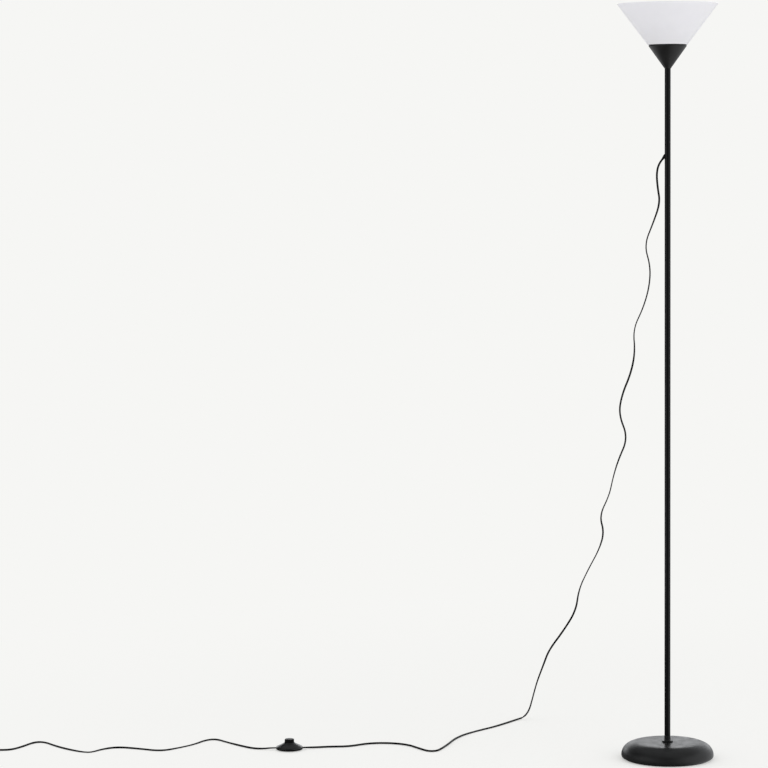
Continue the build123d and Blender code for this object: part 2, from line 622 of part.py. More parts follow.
def shade():
    """Conical shade with a floor that the ring clamps to the cup."""
    rim = SHADE_DIAMETER / 2
    slope = math.atan2(rim - SHADE_BASE_RADIUS, SHADE_HEIGHT)
    wall = SHADE_WALL / math.cos(slope)
    inner_foot = SHADE_BASE_RADIUS - wall + SHADE_FLOOR * math.tan(slope)
    hole = HOLDER_RADIUS + LOOSE_GAP
    cone = turned_points(
        (hole, SHADE_Z), (SHADE_BASE_RADIUS, SHADE_Z), (rim, LAMP_HEIGHT), (rim - wall, LAMP_HEIGHT),
        (inner_foot, SHADE_FLOOR_TOP_Z), (hole, SHADE_FLOOR_TOP_Z))
    rim_edges = cone.edges().filter_by(GeomType.CIRCLE).group_by(Axis.Z)[-1]
    return fillet(rim_edges, SHADE_RIM_ROUND)


def shade_ring():
    """Clamping ring on the holder's thread, with grip ribs round its collar."""
    bore = HOLDER_RADIUS + SLIP_GAP
    collar = bore + SHADE_RING_WIDTH / 2
    top = SHADE_FLOOR_TOP_Z + SHADE_RING_HEIGHT
    flange_top = SHADE_FLOOR_TOP_Z + SHADE_RING_HEIGHT / 4
    ring = tube(collar, bore, SHADE_FLOOR_TOP_Z, top)
    ring += tube(bore + SHADE_RING_FLANGE, bore, SHADE_FLOOR_TOP_Z, flange_top)
    for x, y in around(SHADE_RING_RIBS, collar):
        turn = math.degrees(math.atan2(y, x))
        rib = Box(2 * SHADE_RING_RIB_DEPTH, SHADE_RING_RIB_WIDTH, top - flange_top, align=ON_FLOOR)
        ring += Pos(x, y, flange_top) * Rot(0, 0, turn) * rib
    return ring


# Bulb

def bulb_contact():
    disc = rod(BULB_TIP_RADIUS, BULB_Z, BULB_Z + BULB_TIP_HEIGHT)
    tip = disc.edges().filter_by(GeomType.CIRCLE).sort_by(Axis.Z)[0]
    return fillet(tip, BULB_TIP_HEIGHT / 2)


def bulb_insulator():
    """Black glass cone between the tip and the cap."""
    foot = BULB_TIP_RADIUS + BULB_INSULATOR_EDGE
    head = BULB_CAP_RADIUS - BULB_CAP_BEVEL
    cone = Cone(foot, head, BULB_INSULATOR_HEIGHT, align=ON_FLOOR)
    return Pos(0, 0, BULB_Z + BULB_TIP_HEIGHT) * cone


def bulb_cap():
    """Screw cap with a turned-in foot."""
    return turned_points(
        (0, BULB_CAP_Z), (BULB_CAP_RADIUS - BULB_CAP_BEVEL, BULB_CAP_Z),
        (BULB_CAP_RADIUS, BULB_CAP_Z + BULB_CAP_BEVEL), (BULB_CAP_RADIUS, BULB_BODY_Z), (0, BULB_BODY_Z))


def bulb_body():
    """Flared neck between the cap and the globe."""
    foot = (BULB_CAP_RADIUS + LOOSE_GAP, BULB_BODY_Z)
    head = (BULB_BODY_RADIUS, BULB_GLOBE_Z)
    flare = TangentArc(foot, head, tangent=(0, 1))
    return turned(
        Line((0, BULB_BODY_Z), foot), flare, Line(head, (0, BULB_GLOBE_Z)),
        Line((0, BULB_GLOBE_Z), (0, BULB_BODY_Z)))


def bulb_globe():
    """Opal dome on the neck."""
    below = BULB_GLOBE_CENTRE_Z - BULB_GLOBE_RADIUS
    sphere = Pos(0, 0, BULB_GLOBE_CENTRE_Z) * Sphere(BULB_GLOBE_RADIUS)
    return sphere - rod(BULB_GLOBE_RADIUS, below, BULB_GLOBE_Z)


# Foot switch, built about its own axis and then placed

def screw_places():
    return around(SWITCH_SCREW_COUNT, SWITCH_SCREW_CIRCLE, SWITCH_SCREW_START_DEG)


def cord_notch():
    """Round ways for the flex through both side walls."""
    reach = SWITCH_RADIUS - CLAMP_OFFSET
    way = Rot(0, 90, 0) * Cylinder(CORD_RADIUS + SLIP_GAP, 2 * reach)
    return Part() + [Pos(side * SWITCH_RADIUS, 0, SWITCH_SPLIT_Z) * way for side in (-1, 1)]


def switch_base():
    """Tray with a rim, the rotor's post, blocks for the contacts and sunk screw holes."""
    foot = (SWITCH_FOOT_RADIUS, SWITCH_PAD_THICKNESS)
    rim = (SWITCH_RADIUS, SWITCH_SPLIT_Z)
    inner_rim = (SWITCH_BORE, SWITCH_SPLIT_Z)
    inner_foot = (SWITCH_BORE - SWITCH_WALL, SWITCH_FLOOR_Z)
    tray = turned(
        Line((0, SWITCH_PAD_THICKNESS), foot), TangentArc(rim, foot, tangent=(0, -1)),
        Line(rim, inner_rim), Line(inner_rim, inner_foot), Line(inner_foot, (0, SWITCH_FLOOR_Z)),
        Line((0, SWITCH_FLOOR_Z), (0, SWITCH_PAD_THICKNESS)))
    tray += rod(POST_RADIUS, SWITCH_FLOOR_Z, BUTTON_CEILING_Z - BUTTON_TRAVEL - LOOSE_GAP)
    for side in (-1, 1):
        middle = side * (BLADE_BLOCK_INNER + BLADE_OUTER) / 2
        block = Box(BLADE_OUTER - BLADE_BLOCK_INNER, BLADE_WIDTH, BLADE_Z - SWITCH_FLOOR_Z, align=ON_FLOOR)
        tray += Pos(middle, 0, SWITCH_FLOOR_Z) * block
    for x, y in screw_places():
        tray -= rod(SWITCH_SCREW_RADIUS + SLIP_GAP, SWITCH_PAD_THICKNESS, SWITCH_FLOOR_Z, x, y)
        head_top = SWITCH_PAD_THICKNESS + SWITCH_SCREW_HEAD_HEIGHT
        tray -= rod(SWITCH_SCREW_HEAD_RADIUS + SLIP_GAP, SWITCH_PAD_THICKNESS, head_top, x, y)
    for x, y in terminal_places_in_switch():
        tray -= rod(TERMINAL_SCREW_RADIUS + THREAD_GAP, SWITCH_FLOOR_Z, BLADE_Z, x, y)
    return SWITCH_PLACE * (tray - cord_notch())


def terminal_places_in_switch():
    middle = (BLADE_BLOCK_INNER + BLADE_OUTER) / 2
    return [(-middle, 0), (middle, 0)]


def cover_profile():
    """Outline of the switch's cover: a round rim, a cone and a hollow flare up to the collar."""
    rim = (SWITCH_RADIUS, SWITCH_SPLIT_Z)
    shoulder = (SWITCH_SHOULDER_RADIUS, SWITCH_SHOULDER_Z)
    cone_top = (SWITCH_CONE_TOP_RADIUS, SWITCH_CONE_TOP_Z)
    cone_way = (SWITCH_CONE_TOP_RADIUS - SWITCH_SHOULDER_RADIUS, SWITCH_CONE_TOP_Z - SWITCH_SHOULDER_Z)
    collar = (SWITCH_COLLAR_RADIUS, SWITCH_TOP_Z)
    hole = BUTTON_RADIUS + LOOSE_GAP
    inner_collar = (SWITCH_CONE_TOP_RADIUS, SWITCH_CEILING_Z)
    inner_shoulder = (SWITCH_SHOULDER_RADIUS - SWITCH_WALL, SWITCH_SHOULDER_Z - SWITCH_WALL / 2)
    inner_rim = (SWITCH_BORE, SWITCH_SPLIT_Z)
    return [
        TangentArc(rim, shoulder, tangent=(0, 1)), Line(shoulder, cone_top),
        TangentArc(cone_top, collar, tangent=cone_way), Line(collar, (hole, SWITCH_TOP_Z)),
        Line((hole, SWITCH_TOP_Z), (hole, SWITCH_CEILING_Z)), Line((hole, SWITCH_CEILING_Z), inner_collar),
        Line(inner_collar, inner_shoulder), Line(inner_shoulder, inner_rim), Line(inner_rim, rim)]


def switch_cover():
    """Cover with screw pillars that reach down to the tray's floor."""
    dome = turned(*cover_profile())
    slope = (SWITCH_CONE_TOP_Z - SWITCH_SHOULDER_Z) / (SWITCH_SHOULDER_RADIUS - SWITCH_CONE_TOP_RADIUS)
    pillar_top = SWITCH_SHOULDER_Z + slope * (SWITCH_SHOULDER_RADIUS - SWITCH_SCREW_CIRCLE) - SWITCH_WALL
    for x, y in screw_places():
        dome += rod(SWITCH_PILLAR_RADIUS, SWITCH_FLOOR_Z, pillar_top, x, y)
    for x, y in screw_places():
        screw_top = SWITCH_PAD_THICKNESS + SWITCH_SCREW_LENGTH + LOOSE_GAP
        dome -= rod(SWITCH_SCREW_RADIUS + THREAD_GAP, SWITCH_FLOOR_Z, screw_top, x, y)
    return SWITCH_PLACE * (dome - cord_notch())


def crown_tooth():
    """One saw tooth of a face ratchet: a ramp that climbs the button's travel, then drops."""
    pitch = 360 / CROWN_TEETH
    span = pitch - CROWN_TOOTH_GAP_DEG
    inner = POST_RADIUS
    outer = STEM_RADIUS / math.cos(math.radians(pitch / 2)) + POST_RADIUS
    width = outer - inner

    def radial_face(angle, height):
        face = Pos((inner + outer) / 2, height / 2) * Rectangle(width, height)
        return Rot(0, 0, angle) * (Plane.XZ * face)

    return loft([radial_face(0, CROWN_TOOTH_TOE), radial_face(span, BUTTON_TRAVEL)], ruled=True)


def crown():
    """Ring of saw teeth that stand on the level z = 0."""
    tooth = crown_tooth()
    teeth = [Rot(0, 0, 360 * step / CROWN_TEETH) * tooth for step in range(CROWN_TEETH)]
    blank = tube(STEM_RADIUS, POST_RADIUS + LOOSE_GAP, 0, BUTTON_TRAVEL)
    return Part() + [blank & each for each in teeth]


def switch_button():
    """Hollow push button with a stop flange and a stem that ends in a face ratchet."""
    bore = POST_RADIUS + LOOSE_GAP
    cap = rod(BUTTON_RADIUS, FLANGE_Z, BUTTON_TOP_Z)
    crest = cap.edges().filter_by(GeomType.CIRCLE).sort_by(Axis.Z)[-1]
    cap = fillet(crest, BUTTON_EDGE_ROUND)
    cap += tube(BUTTON_FLANGE_RADIUS, BUTTON_BORE, FLANGE_Z, FLANGE_TOP_Z)
    cap -= rod(BUTTON_BORE, FLANGE_Z, BUTTON_CEILING_Z)
    cap += tube(STEM_RADIUS, bore, STEM_CROWN_Z, BUTTON_CEILING_Z)
    cap += Pos(0, 0, STEM_CROWN_Z) * Rot(180, 0, 0) * crown()
    return SWITCH_PLACE * cap


def switch_rotor():
    """Ratchet rotor on the post: a disc, a hub and a ring of saw teeth."""
    bore = POST_RADIUS + LOOSE_GAP
    wheel = tube(ROTOR_RADIUS, bore, ROTOR_Z, BRIDGE_Z) + tube(STEM_RADIUS, bore, ROTOR_Z, CROWN_Z)
    return SWITCH_PLACE * (wheel + Pos(0, 0, CROWN_Z) * crown())


def contact_bridge():
    """Sprung cross that the rotor carries round to join or part the two blades."""
    bore = STEM_RADIUS + THREAD_GAP
    top = BRIDGE_Z + BRIDGE_THICKNESS
    cross = tube(BRIDGE_RING_RADIUS, bore, BRIDGE_Z, top)
    reach = BRIDGE_REACH - (bore + BRIDGE_RING_RADIUS) / 2
    for step in range(BRIDGE_ARMS):
        arm = Box(reach, BRIDGE_ARM_WIDTH, BRIDGE_THICKNESS, align=(Align.MAX, Align.CENTER, Align.MIN))
        cross += Rot(0, 0, 360 * step / BRIDGE_ARMS) * Pos(BRIDGE_REACH, 0, BRIDGE_Z) * arm
    return SWITCH_PLACE * cross


def contact_blades():
    """Fixed blades on their blocks, one for each side of the cut core."""
    blades = []
    for x, y in terminal_places_in_switch():
        side = 1 if x > 0 else -1
        length = BLADE_OUTER - BLADE_INNER
        middle = side * (BLADE_INNER + BLADE_OUTER) / 2
        blade = Pos(middle, 0, BLADE_Z) * Box(length, BLADE_WIDTH, BLADE_THICKNESS, align=ON_FLOOR)
        top = BLADE_Z + BLADE_THICKNESS
        blades.append(SWITCH_PLACE * (blade - rod(TERMINAL_SCREW_RADIUS + THREAD_GAP, BLADE_Z, top, x, y)))
    return Compound(blades)


def switch_terminal_screws():
    bottom = BLADE_Z + BLADE_THICKNESS
    screws = []
    for x, y in terminal_places_in_switch():
        shank = rod(TERMINAL_SCREW_RADIUS, SWITCH_FLOOR_Z, bottom, x, y)
        head = rod(BLADE_SCREW_HEAD_RADIUS, bottom, bottom + BLADE_SCREW_HEAD_HEIGHT, x, y)
        screws.append(SWITCH_PLACE * (shank + head))
    return Compound(screws)


def switch_cage():
    """Fixed plate over the rotor that seats the button's spring, on three legs."""
    plate = tube(CAGE_RADIUS, STEM_RADIUS + LOOSE_GAP, CAGE_Z, CAGE_TOP_Z)
    for x, y in around(CAGE_LEGS, CAGE_LEG_CIRCLE, CAGE_LEG_START_DEG):
        plate += rod(CAGE_LEG_RADIUS, SWITCH_FLOOR_Z, CAGE_Z, x, y)
    return SWITCH_PLACE * plate


def biarc(start, start_way, end, end_way):
    """Two tangent arcs from start to end that leave and arrive along the given unit ways."""
    gap = end - start
    bend = 2 * (start_way.dot(end_way) - 1)
    pull = -2 * gap.dot(start_way + end_way)
    reach = (-pull - math.sqrt(pull * pull - 4 * bend * gap.dot(gap))) / (2 * bend)
    first = start + start_way * reach
    second = end - end_way * reach
    middle = (first + second) / 2
    leaving = Edge.make_tangent_arc(start, start_way, middle)
    arriving = Edge.make_tangent_arc(middle, second - first, end)
    return [leaving, arriving]


def wound_edges(point, turns, steps_per_turn):
    """Biarcs along a winding that point(turn) gives, from turn 0 to the last."""
    small = 1e-4

    def way(turn):
        return (point(turn + small) - point(turn - small)).normalized()

    stops = [step / steps_per_turn for step in range(int(turns * steps_per_turn) + 1)]
    edges = []
    for begin, finish in zip(stops, stops[1:]):
        edges += biarc(point(begin), way(begin), point(finish), way(finish))
    return edges, way(0), way(turns)


def switch_spring():
    """Open coil spring between the cage and the button's ceiling."""
    low = CAGE_TOP_Z + SPRING_WIRE_RADIUS + LOOSE_GAP
    high = BUTTON_CEILING_Z - SPRING_WIRE_RADIUS - LOOSE_GAP

    def point(turn):
        angle = math.tau * turn
        height = low + (high - low) * turn / SPRING_TURNS
        return Vector(SPRING_RADIUS * math.cos(angle), SPRING_RADIUS * math.sin(angle), height)

    edges, way, _ = wound_edges(point, SPRING_TURNS, 2)
    section = Plane(point(0), z_dir=way) * Circle(SPRING_WIRE_RADIUS)
    return SWITCH_PLACE * sweep(section, path=Wire(edges))


def switch_screws():
    foot = SWITCH_PAD_THICKNESS
    screws = []
    for x, y in screw_places():
        head = rod(SWITCH_SCREW_HEAD_RADIUS, foot, foot + SWITCH_SCREW_HEAD_HEIGHT, x, y)
        shank = rod(SWITCH_SCREW_RADIUS, foot, foot + SWITCH_SCREW_LENGTH, x, y)
        screws.append(SWITCH_PLACE * (head + shank))
    return Compound(screws)


def switch_pads():
    places = around(SWITCH_PAD_COUNT, SWITCH_PAD_CIRCLE, SWITCH_PAD_START_DEG)
    return Compound([SWITCH_PLACE * rod(SWITCH_PAD_RADIUS, 0, SWITCH_PAD_THICKNESS, x, y) for x, y in places])


def switch_cord_clamps():
    """Bars that press the flex into the tray just inside each side wall."""
    bottom = SWITCH_SPLIT_Z + CORD_RADIUS + SLIP_GAP
    bar = Box(CLAMP_LENGTH, CLAMP_WIDTH, CLAMP_HEIGHT, align=ON_FLOOR)
    return Compound([SWITCH_PLACE * Pos(side * CLAMP_OFFSET, 0, bottom) * bar for side in (-1, 1)])


# Flex outside the lamp

def cord_radii(points):
    """Largest arc that each corner's two runs leave room for."""
    corners = [Vector(*point) for point in points]
    radii = []
    for before, corner, after in zip(corners, corners[1:], corners[2:]):
        arriving = corner - before
        leaving = after - corner
        turn = math.radians(arriving.get_angle(leaving))
        shorter = min(arriving.length, leaving.length)
        radii.append(CORD_ARC_SHARE * shorter / math.tan(turn / 2))
    return radii


def report_tube(name, solid, length):
    """Print how near a tube's volume is to its section times its length."""
    ratio = solid.volume / (math.pi * CORD_RADIUS ** 2 * length)
    print(f"{name}: length {length:.1f} mm, volume / (section x length) {ratio:.4f}")


def cord_tube(name, points):
    """Tube along a route of straight runs joined by tangent arcs."""
    radii = cord_radii(points)
    path = FilletPolyline(*points, radius=radii)
    start = Vector(*points[0])
    plane = Plane(start, z_dir=Vector(*points[1]) - start)
    solid = sweep(plane * Circle(CORD_RADIUS), path=path)
    print(f"{name} arc radii:", " ".join(f"{radius:.0f}" for radius in radii))
    report_tube(name, solid, path.length)
    return solid


def coil_point(turn):
    """Middle of the flex in the coil: in on the lower layer, up, and out on the upper one."""
    middle = COIL_TURNS / 2
    hold = COIL_CLIMB_TURNS / 2
    away = min(max(abs(turn - middle) - hold, 0), middle - COIL_CLIMB_TURNS)
    radius = COIL_INNER_RADIUS + COIL_TURN_STEP * away
    climb = min(max((turn - middle) / hold, -1), 1)
    height = COIL_Z + COIL_LAYER_STEP * (1 + math.sin(climb * math.pi / 2)) / 2
    angle = math.pi / 2 + math.tau * turn
    return Vector(COIL_X + radius * math.cos(angle), COIL_Y + radius * math.sin(angle), height)


def coil_gap():
    """Least gap between turns of the coil, measured on points at least half a turn apart."""
    per_turn = 120
    points = [coil_point(step / per_turn) for step in range(COIL_TURNS * per_turn + 1)]
    near = [(points[i] - points[j]).length
            for i in range(len(points)) for j in range(i + per_turn // 2, len(points))]
    return min(near) - CORD_DIAMETER


def cord_coil():
    """Stored flex in two layers of turns, with a straight lead at each end."""
    start = Vector(COIL_START_X, COIL_LINE_Y, COIL_Z)
    end = Vector(RELIEF_X, COIL_LINE_Y, COIL_TOP_Z)
    edges, _, _ = wound_edges(coil_point, COIL_TURNS, 4)
    lead_in = Edge.make_line(start, coil_point(0))
    lead_out = Edge.make_line(coil_point(COIL_TURNS), end)
    path = Wire([lead_in] + edges + [lead_out])
    solid = sweep(Plane(start, z_dir=(-1, 0, 0)) * Circle(CORD_RADIUS), path=path)
    report_tube("cord_coil", solid, path.length)
    print(f"cord_coil: least gap between turns {coil_gap():.2f} mm")
    return solid


def coil_tie():
    """Flat band round all the turns at the front of the coil."""
    inner = COIL_INNER_RADIUS - CORD_RADIUS - LOOSE_GAP
    outer = COIL_OUTER_RADIUS + CORD_RADIUS + LOOSE_GAP
    bottom = COIL_Z - CORD_RADIUS - SLIP_GAP
    top = COIL_TOP_Z + CORD_RADIUS + LOOSE_GAP
    size = Vector(TIE_WIDTH, outer - inner, top - bottom)
    place = Pos(COIL_X, COIL_Y - (inner + outer) / 2, bottom - TIE_THICKNESS)
    wrap = 2 * TIE_THICKNESS
    band = Box(size.X, size.Y + wrap, size.Z + wrap, align=ON_FLOOR)
    corners = band.edges().filter_by(Axis.X)
    band = fillet(corners, TIE_THICKNESS)
    return place * (band - Pos(0, 0, TIE_THICKNESS) * Box(size.X, size.Y, size.Z, align=ON_FLOOR))


def plug_plane(x):
    """Upright plane across the plug's axis, facing the way the pins point."""
    return Plane((x, COIL_LINE_Y, COIL_TOP_Z), x_dir=(0, 1, 0), z_dir=(-1, 0, 0))


def pin_places():
    return [plug_plane(PLUG_FACE_X + PIN_INSIDE) * Pos(side * PIN_SPACING / 2, 0, 0) for side in (-1, 1)]


def plug_body():
    """Flat moulded body that widens from the flex to the pins."""
    rear = plug_plane(PLUG_X) * RectangleRounded(PLUG_REAR_WIDTH, PLUG_REAR_THICKNESS, PLUG_CORNER)
    waist_plane = plug_plane(PLUG_X - PLUG_WAIST_LENGTH)
    waist = waist_plane * RectangleRounded(PLUG_WAIST_WIDTH, PLUG_THICKNESS, PLUG_CORNER)
    face = plug_plane(PLUG_FACE_X) * RectangleRounded(PLUG_WIDTH, PLUG_THICKNESS, PLUG_CORNER)
    body = loft([rear, waist, face], ruled=True)
    for place in pin_places():
        body -= place * Cylinder(PIN_ROOT_RADIUS + THREAD_GAP, PIN_INSIDE, align=ON_FLOOR)
    return body


def plug_pins():
    """Round pins, each on a thinner root that the body is moulded round."""
    root = rod(PIN_ROOT_RADIUS, 0, PIN_INSIDE)
    free = rod(PIN_RADIUS, PIN_INSIDE, PIN_INSIDE + PIN_LENGTH)
    tip = free.edges().filter_by(GeomType.CIRCLE).sort_by(Axis.Z)[-1]
    pin = root + fillet(tip, PIN_TIP_ROUND)
    return Compound([place * pin for place in pin_places()])


def plug_relief():
    """Tapered sleeve between the flex and the plug."""
    return plug_plane(RELIEF_X) * Cone(
        PLUG_RELIEF_TIP_RADIUS, PLUG_RELIEF_ROOT_RADIUS, PLUG_RELIEF_LENGTH, align=ON_FLOOR)


def main():
    parts = {
        "base_cover": base_cover(), "base_weight": base_weight(), "base_plate": base_plate(),
        "base_pad": base_pad(), "base_screws": base_screws(), "base_bolt": base_bolt(),
        "base_washer": base_washer(), "pole_foot_collar": pole_foot_collar(),
        "pole_lower": pole_section(BASE_HEIGHT, SEAM_ONE_Z),
        "pole_middle": pole_section(SEAM_ONE_Z, SEAM_TWO_Z), "pole_upper": pole_upper(),
        "pole_foot_insert": threaded_insert(BASE_HEIGHT),
        "pole_joint_inserts": pole_joint_inserts(), "pole_joint_studs": pole_joint_studs(),
        "pole_top_insert": threaded_insert(POLE_TOP_Z - INSERT_LENGTH),
        "cord_grommet": cord_grommet(), "inner_cable": inner_cable(),
        "fitter_cup": fitter_cup(), "head_nipple": head_nipple(), "head_washer": head_washer(),
        "head_nut": head_nut(), "holder_cap": holder_cap(), "holder_body": holder_body(),
        "holder_insert": holder_insert(), "holder_shell": holder_shell(),
        "holder_contact": holder_contact(), "terminal_screws": terminal_screws(),
        "holder_wires": holder_wires(), "shade": shade(), "shade_ring": shade_ring(),
        "bulb_contact": bulb_contact(), "bulb_insulator": bulb_insulator(), "bulb_cap": bulb_cap(),
        "bulb_body": bulb_body(), "bulb_globe": bulb_globe(),
        "switch_base": switch_base(), "switch_cover": switch_cover(), "switch_button": switch_button(),
        "switch_spring": switch_spring(), "switch_rotor": switch_rotor(),
        "contact_bridge": contact_bridge(), "contact_blades": contact_blades(),
        "switch_terminal_screws": switch_terminal_screws(), "switch_cage": switch_cage(),
        "switch_screws": switch_screws(), "switch_pads": switch_pads(),
        "switch_cord_clamps": switch_cord_clamps(),
        "cord_to_switch": cord_tube("cord_to_switch", CORD_TO_SWITCH),
        "cord_to_coil": cord_tube("cord_to_coil", CORD_TO_COIL),
        "cord_coil": cord_coil(), "coil_tie": coil_tie(),
        "plug_body": plug_body(), "plug_pins": plug_pins(), "plug_relief": plug_relief(),
    }
    os.makedirs("parts", exist_ok=True)
    for name, shape in parts.items():
        export_step(shape, f"parts/{name}.step")


if __name__ == "__main__":
    main()
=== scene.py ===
"""Looks of the torchiere floor lamp: its materials, the pieces that replace CAD nodes, light and camera.

Metres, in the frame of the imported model: the origin is on the floor under the middle of the base,
+X is the right side seen from the front and +Y points away from the viewer.
"""
import json
import math

import bmesh
import bpy
from mathutils import Matrix, Vector


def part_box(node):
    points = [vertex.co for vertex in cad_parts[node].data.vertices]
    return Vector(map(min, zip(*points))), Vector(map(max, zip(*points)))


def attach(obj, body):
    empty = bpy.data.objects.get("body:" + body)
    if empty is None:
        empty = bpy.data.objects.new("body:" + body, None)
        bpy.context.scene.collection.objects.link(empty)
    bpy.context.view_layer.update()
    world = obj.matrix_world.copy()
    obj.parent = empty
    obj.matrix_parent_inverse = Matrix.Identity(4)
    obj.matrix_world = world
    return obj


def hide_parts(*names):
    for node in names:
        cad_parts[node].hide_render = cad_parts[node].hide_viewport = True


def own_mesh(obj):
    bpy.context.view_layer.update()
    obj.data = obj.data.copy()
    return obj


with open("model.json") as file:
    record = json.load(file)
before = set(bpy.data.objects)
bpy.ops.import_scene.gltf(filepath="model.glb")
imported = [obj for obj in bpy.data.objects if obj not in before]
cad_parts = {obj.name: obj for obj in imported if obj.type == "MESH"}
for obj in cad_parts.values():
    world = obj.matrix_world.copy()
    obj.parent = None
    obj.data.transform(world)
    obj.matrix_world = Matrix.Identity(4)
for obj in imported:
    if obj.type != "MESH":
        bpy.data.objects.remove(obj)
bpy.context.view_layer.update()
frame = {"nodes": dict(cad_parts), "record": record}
NODES = frame["nodes"]
MM = 0.001

# Camera, fitted to the photograph
CAMERA_PLACE = (-0.6746, -7.0, 1.43)
CAMERA_PITCH_DEG = 4.2833
CAMERA_ROLL_DEG = -0.39
CAMERA_REACH = 200.0
FOCAL_PIXELS = 2950.64
IMAGE_PIXELS = 768
SENSOR_MM = 36.0

# Backdrop, floor and light
BACKDROP = (0.922, 0.922, 0.905)
FLOOR_ALBEDO = (0.90, 0.90, 0.885)
FLOOR_LEVEL = -0.3 * MM
FLOOR_SIZE = 80.0
FLOOR_FADE = (0.4, 2.6)
FLOOR_SHADOW_SHARE = 0.6
FLOOR_MIRROR_FADE = (0.12, 0.5)
FLOOR_MIRROR_NEAR = 0.88
FLOOR_DARK_LEVEL = 0.08
FLOOR_FAR_SIDE = dict(way=(-0.95, 0.3, 0.0), edge=(0.0, 0.7), level=0.9)
FLOOR_FAR_START = (1.2, 2.2)
AMBIENT = (0.95, 0.95, 0.95)
STUDIO_LIGHT = (0.90, 0.915, 0.935)
DARK_LEVEL = 0.035
BRIGHT_SIDE = dict(way=(1.0, 0.1, 0.0), edge=(0.0, 0.7), level=0.82, top=(0.55, 0.85))
STUDIO_WALLS = [
    BRIGHT_SIDE,
    dict(way=(-0.85, -0.5, 0.0), edge=(0.6, 0.95), level=0.6, top=(0.55, 0.85)),
    dict(way=(0.0, 1.0, 0.0), edge=(0.6, 0.95), level=2.1, foot=(0.02, 0.12), top=(0.25, 0.5)),
    dict(way=(0.0, 0.0, 1.0), edge=(0.02, 0.12), level=0.3, top=(0.25, 0.5)),
    dict(way=(0.0, 0.0, 1.0), edge=(0.5, 0.85), level=0.4),
]
KEY_PLACE = (3.0, -2.4, 2.9)
KEY_TARGET = (0.0, 0.0, 1.1)
KEY_SIZE = 2.6
KEY_WATTS = 26.0

# Finishes, with the range that holds most of a noise's values
NOISE_RANGE = (0.3, 0.7)
SWITCH_COLOUR = (0.002, 0.002, 0.002)
CORE_BROWN = (0.12, 0.045, 0.02)
CORE_BLUE = (0.02, 0.07, 0.25)
CORE_EDGE = 0.1 * MM
PIN_PLATING = (0.62, 0.60, 0.55)
PIN_SLEEVE = (0.012, 0.012, 0.013)
PIN_SLEEVE_LENGTH = 10 * MM
PIN_SLEEVE_EDGE = 0.2 * MM

# Flat twin flex
FLEX_CORE_RADIUS = 1.4 * MM
FLEX_CORE_OFFSET = 1.0 * MM
FLEX_CORE_ARC_DEG = 118
FLEX_ARC_STEPS = 9
FLEX_GROOVE = 1.1 * MM
FLEX_WIDTH = 2 * (FLEX_CORE_RADIUS + FLEX_CORE_OFFSET)
FLEX_FLOOR_GAP = 0.25 * MM
SPLINE_STEPS = 8

# Upright share of the flex's way over which its flat side turns from the floor to the camera
FLEX_HANGING_SLOPE = (0.15, 0.65)

# Route points as (x, y, height, roll) in millimetres and degrees. A roll of 0 turns the flat side
# to the camera or to the floor, 90 sets it on edge, and no height means on the floor.
ROUTE_TO_SWITCH = [
    (-12, 0, 1435, 0), (-21, 0, 1424, 0), (-26, 3, 1401, 0), (-23, 9, 1368, 0), (-16, 18, 1332, 10),
    (-31, 28, 1285, 60), (-52, 40, 1231, 78), (-36, 50, 1180, 66), (-38, 59, 1130, 64),
    (-52, 70, 1078, 76), (-75, 82, 1028, 90), (-69, 95, 972, 52), (-78, 107, 920, 0),
    (-99, 122, 866, 30), (-106, 131, 818, 40), (-82, 145, 760, 38), (-105, 158, 704, 48),
    (-117, 168, 660, 85), (-125, 182, 615, 88), (-148, 200, 563, 58), (-135, 216, 520, 22),
    (-146, 234, 475, 74), (-172, 264, 420, 90), (-193, 295, 366, 66), (-197, 334, 308, 8),
    (-226, 378, 250, 0), (-260, 432, 192, 0), (-272, 468, 148, 30), (-288, 494, 98, 62),
    (-299, 505, 52, 66), (-307, 509, 22, 50), (-321, 508, 5, 30), (-340, 494, None, 30),
    (-368, 448, None, 40), (-402, 398, None, 30), (-442, 352, None, 20), (-480, 300, None, 30),
    (-506, 241, None, 55), (-521, 182, None, 65), (-540, 122, None, 60), (-553, 93, None, 60),
    (-574, 92, None, 65), (-594, 125, None, 70), (-622, 174, None, 80), (-668, 197, None, 88),
    (-720, 194, None, 88), (-766, 156, None, 84), (-815, 155, None, 84), (-847, 148, None, 72),
    (-868, 135, 5, 35), (-888, 133, 5, 0),
]
ROUTE_TO_COIL = [
    (-936, 133, 5, 0), (-956, 133, 5, 10), (-976, 133, 3, 35), (-1002, 140, None, 70),
    (-1038, 180, None, 60), (-1072, 227, None, 5), (-1098, 262, None, 45), (-1124, 252, None, 25),
    (-1148, 202, None, 0), (-1184, 158, None, 0), (-1226, 116, None, 45), (-1280, 148, None, 30),
    (-1336, 169, None, 88), (-1372, 146, None, 15), (-1394, 110, None, 0), (-1414, 112, None, 5),
    (-1448, 138, None, 45), (-1488, 184, None, 40), (-1524, 242, None, 25), (-1549, 236, None, 88),
    (-1572, 180, None, 75), (-1594, 144, None, 82), (-1622, 140, None, 85), (-1650, 146, None, 90),
    (-1676, 146, None, 90),
]

# Stored turns beside the plug, in millimetres and degrees like the routes
COIL_CENTRE = (-1680.0, 118.0)
COIL_OUTER_RADIUS = 28.0
COIL_INNER_RADIUS = 19.0
COIL_TURN_STEP = 6.0
COIL_TURNS = 4
COIL_CLIMB_TURNS = 0.5
COIL_POINTS_PER_TURN = 16
COIL_LOW = 2.65
COIL_HIGH = 7.55
COIL_ROLL = 90

# From the last turn to the plug, as (x from the coil's centre, height, roll)
PLUG_HEIGHT = 7.0
PLUG_LEAD = [(0.0, COIL_HIGH, 90), (-10.0, COIL_HIGH, 80), (-20.0, PLUG_HEIGHT, 30), (-32.0, PLUG_HEIGHT, 0)]

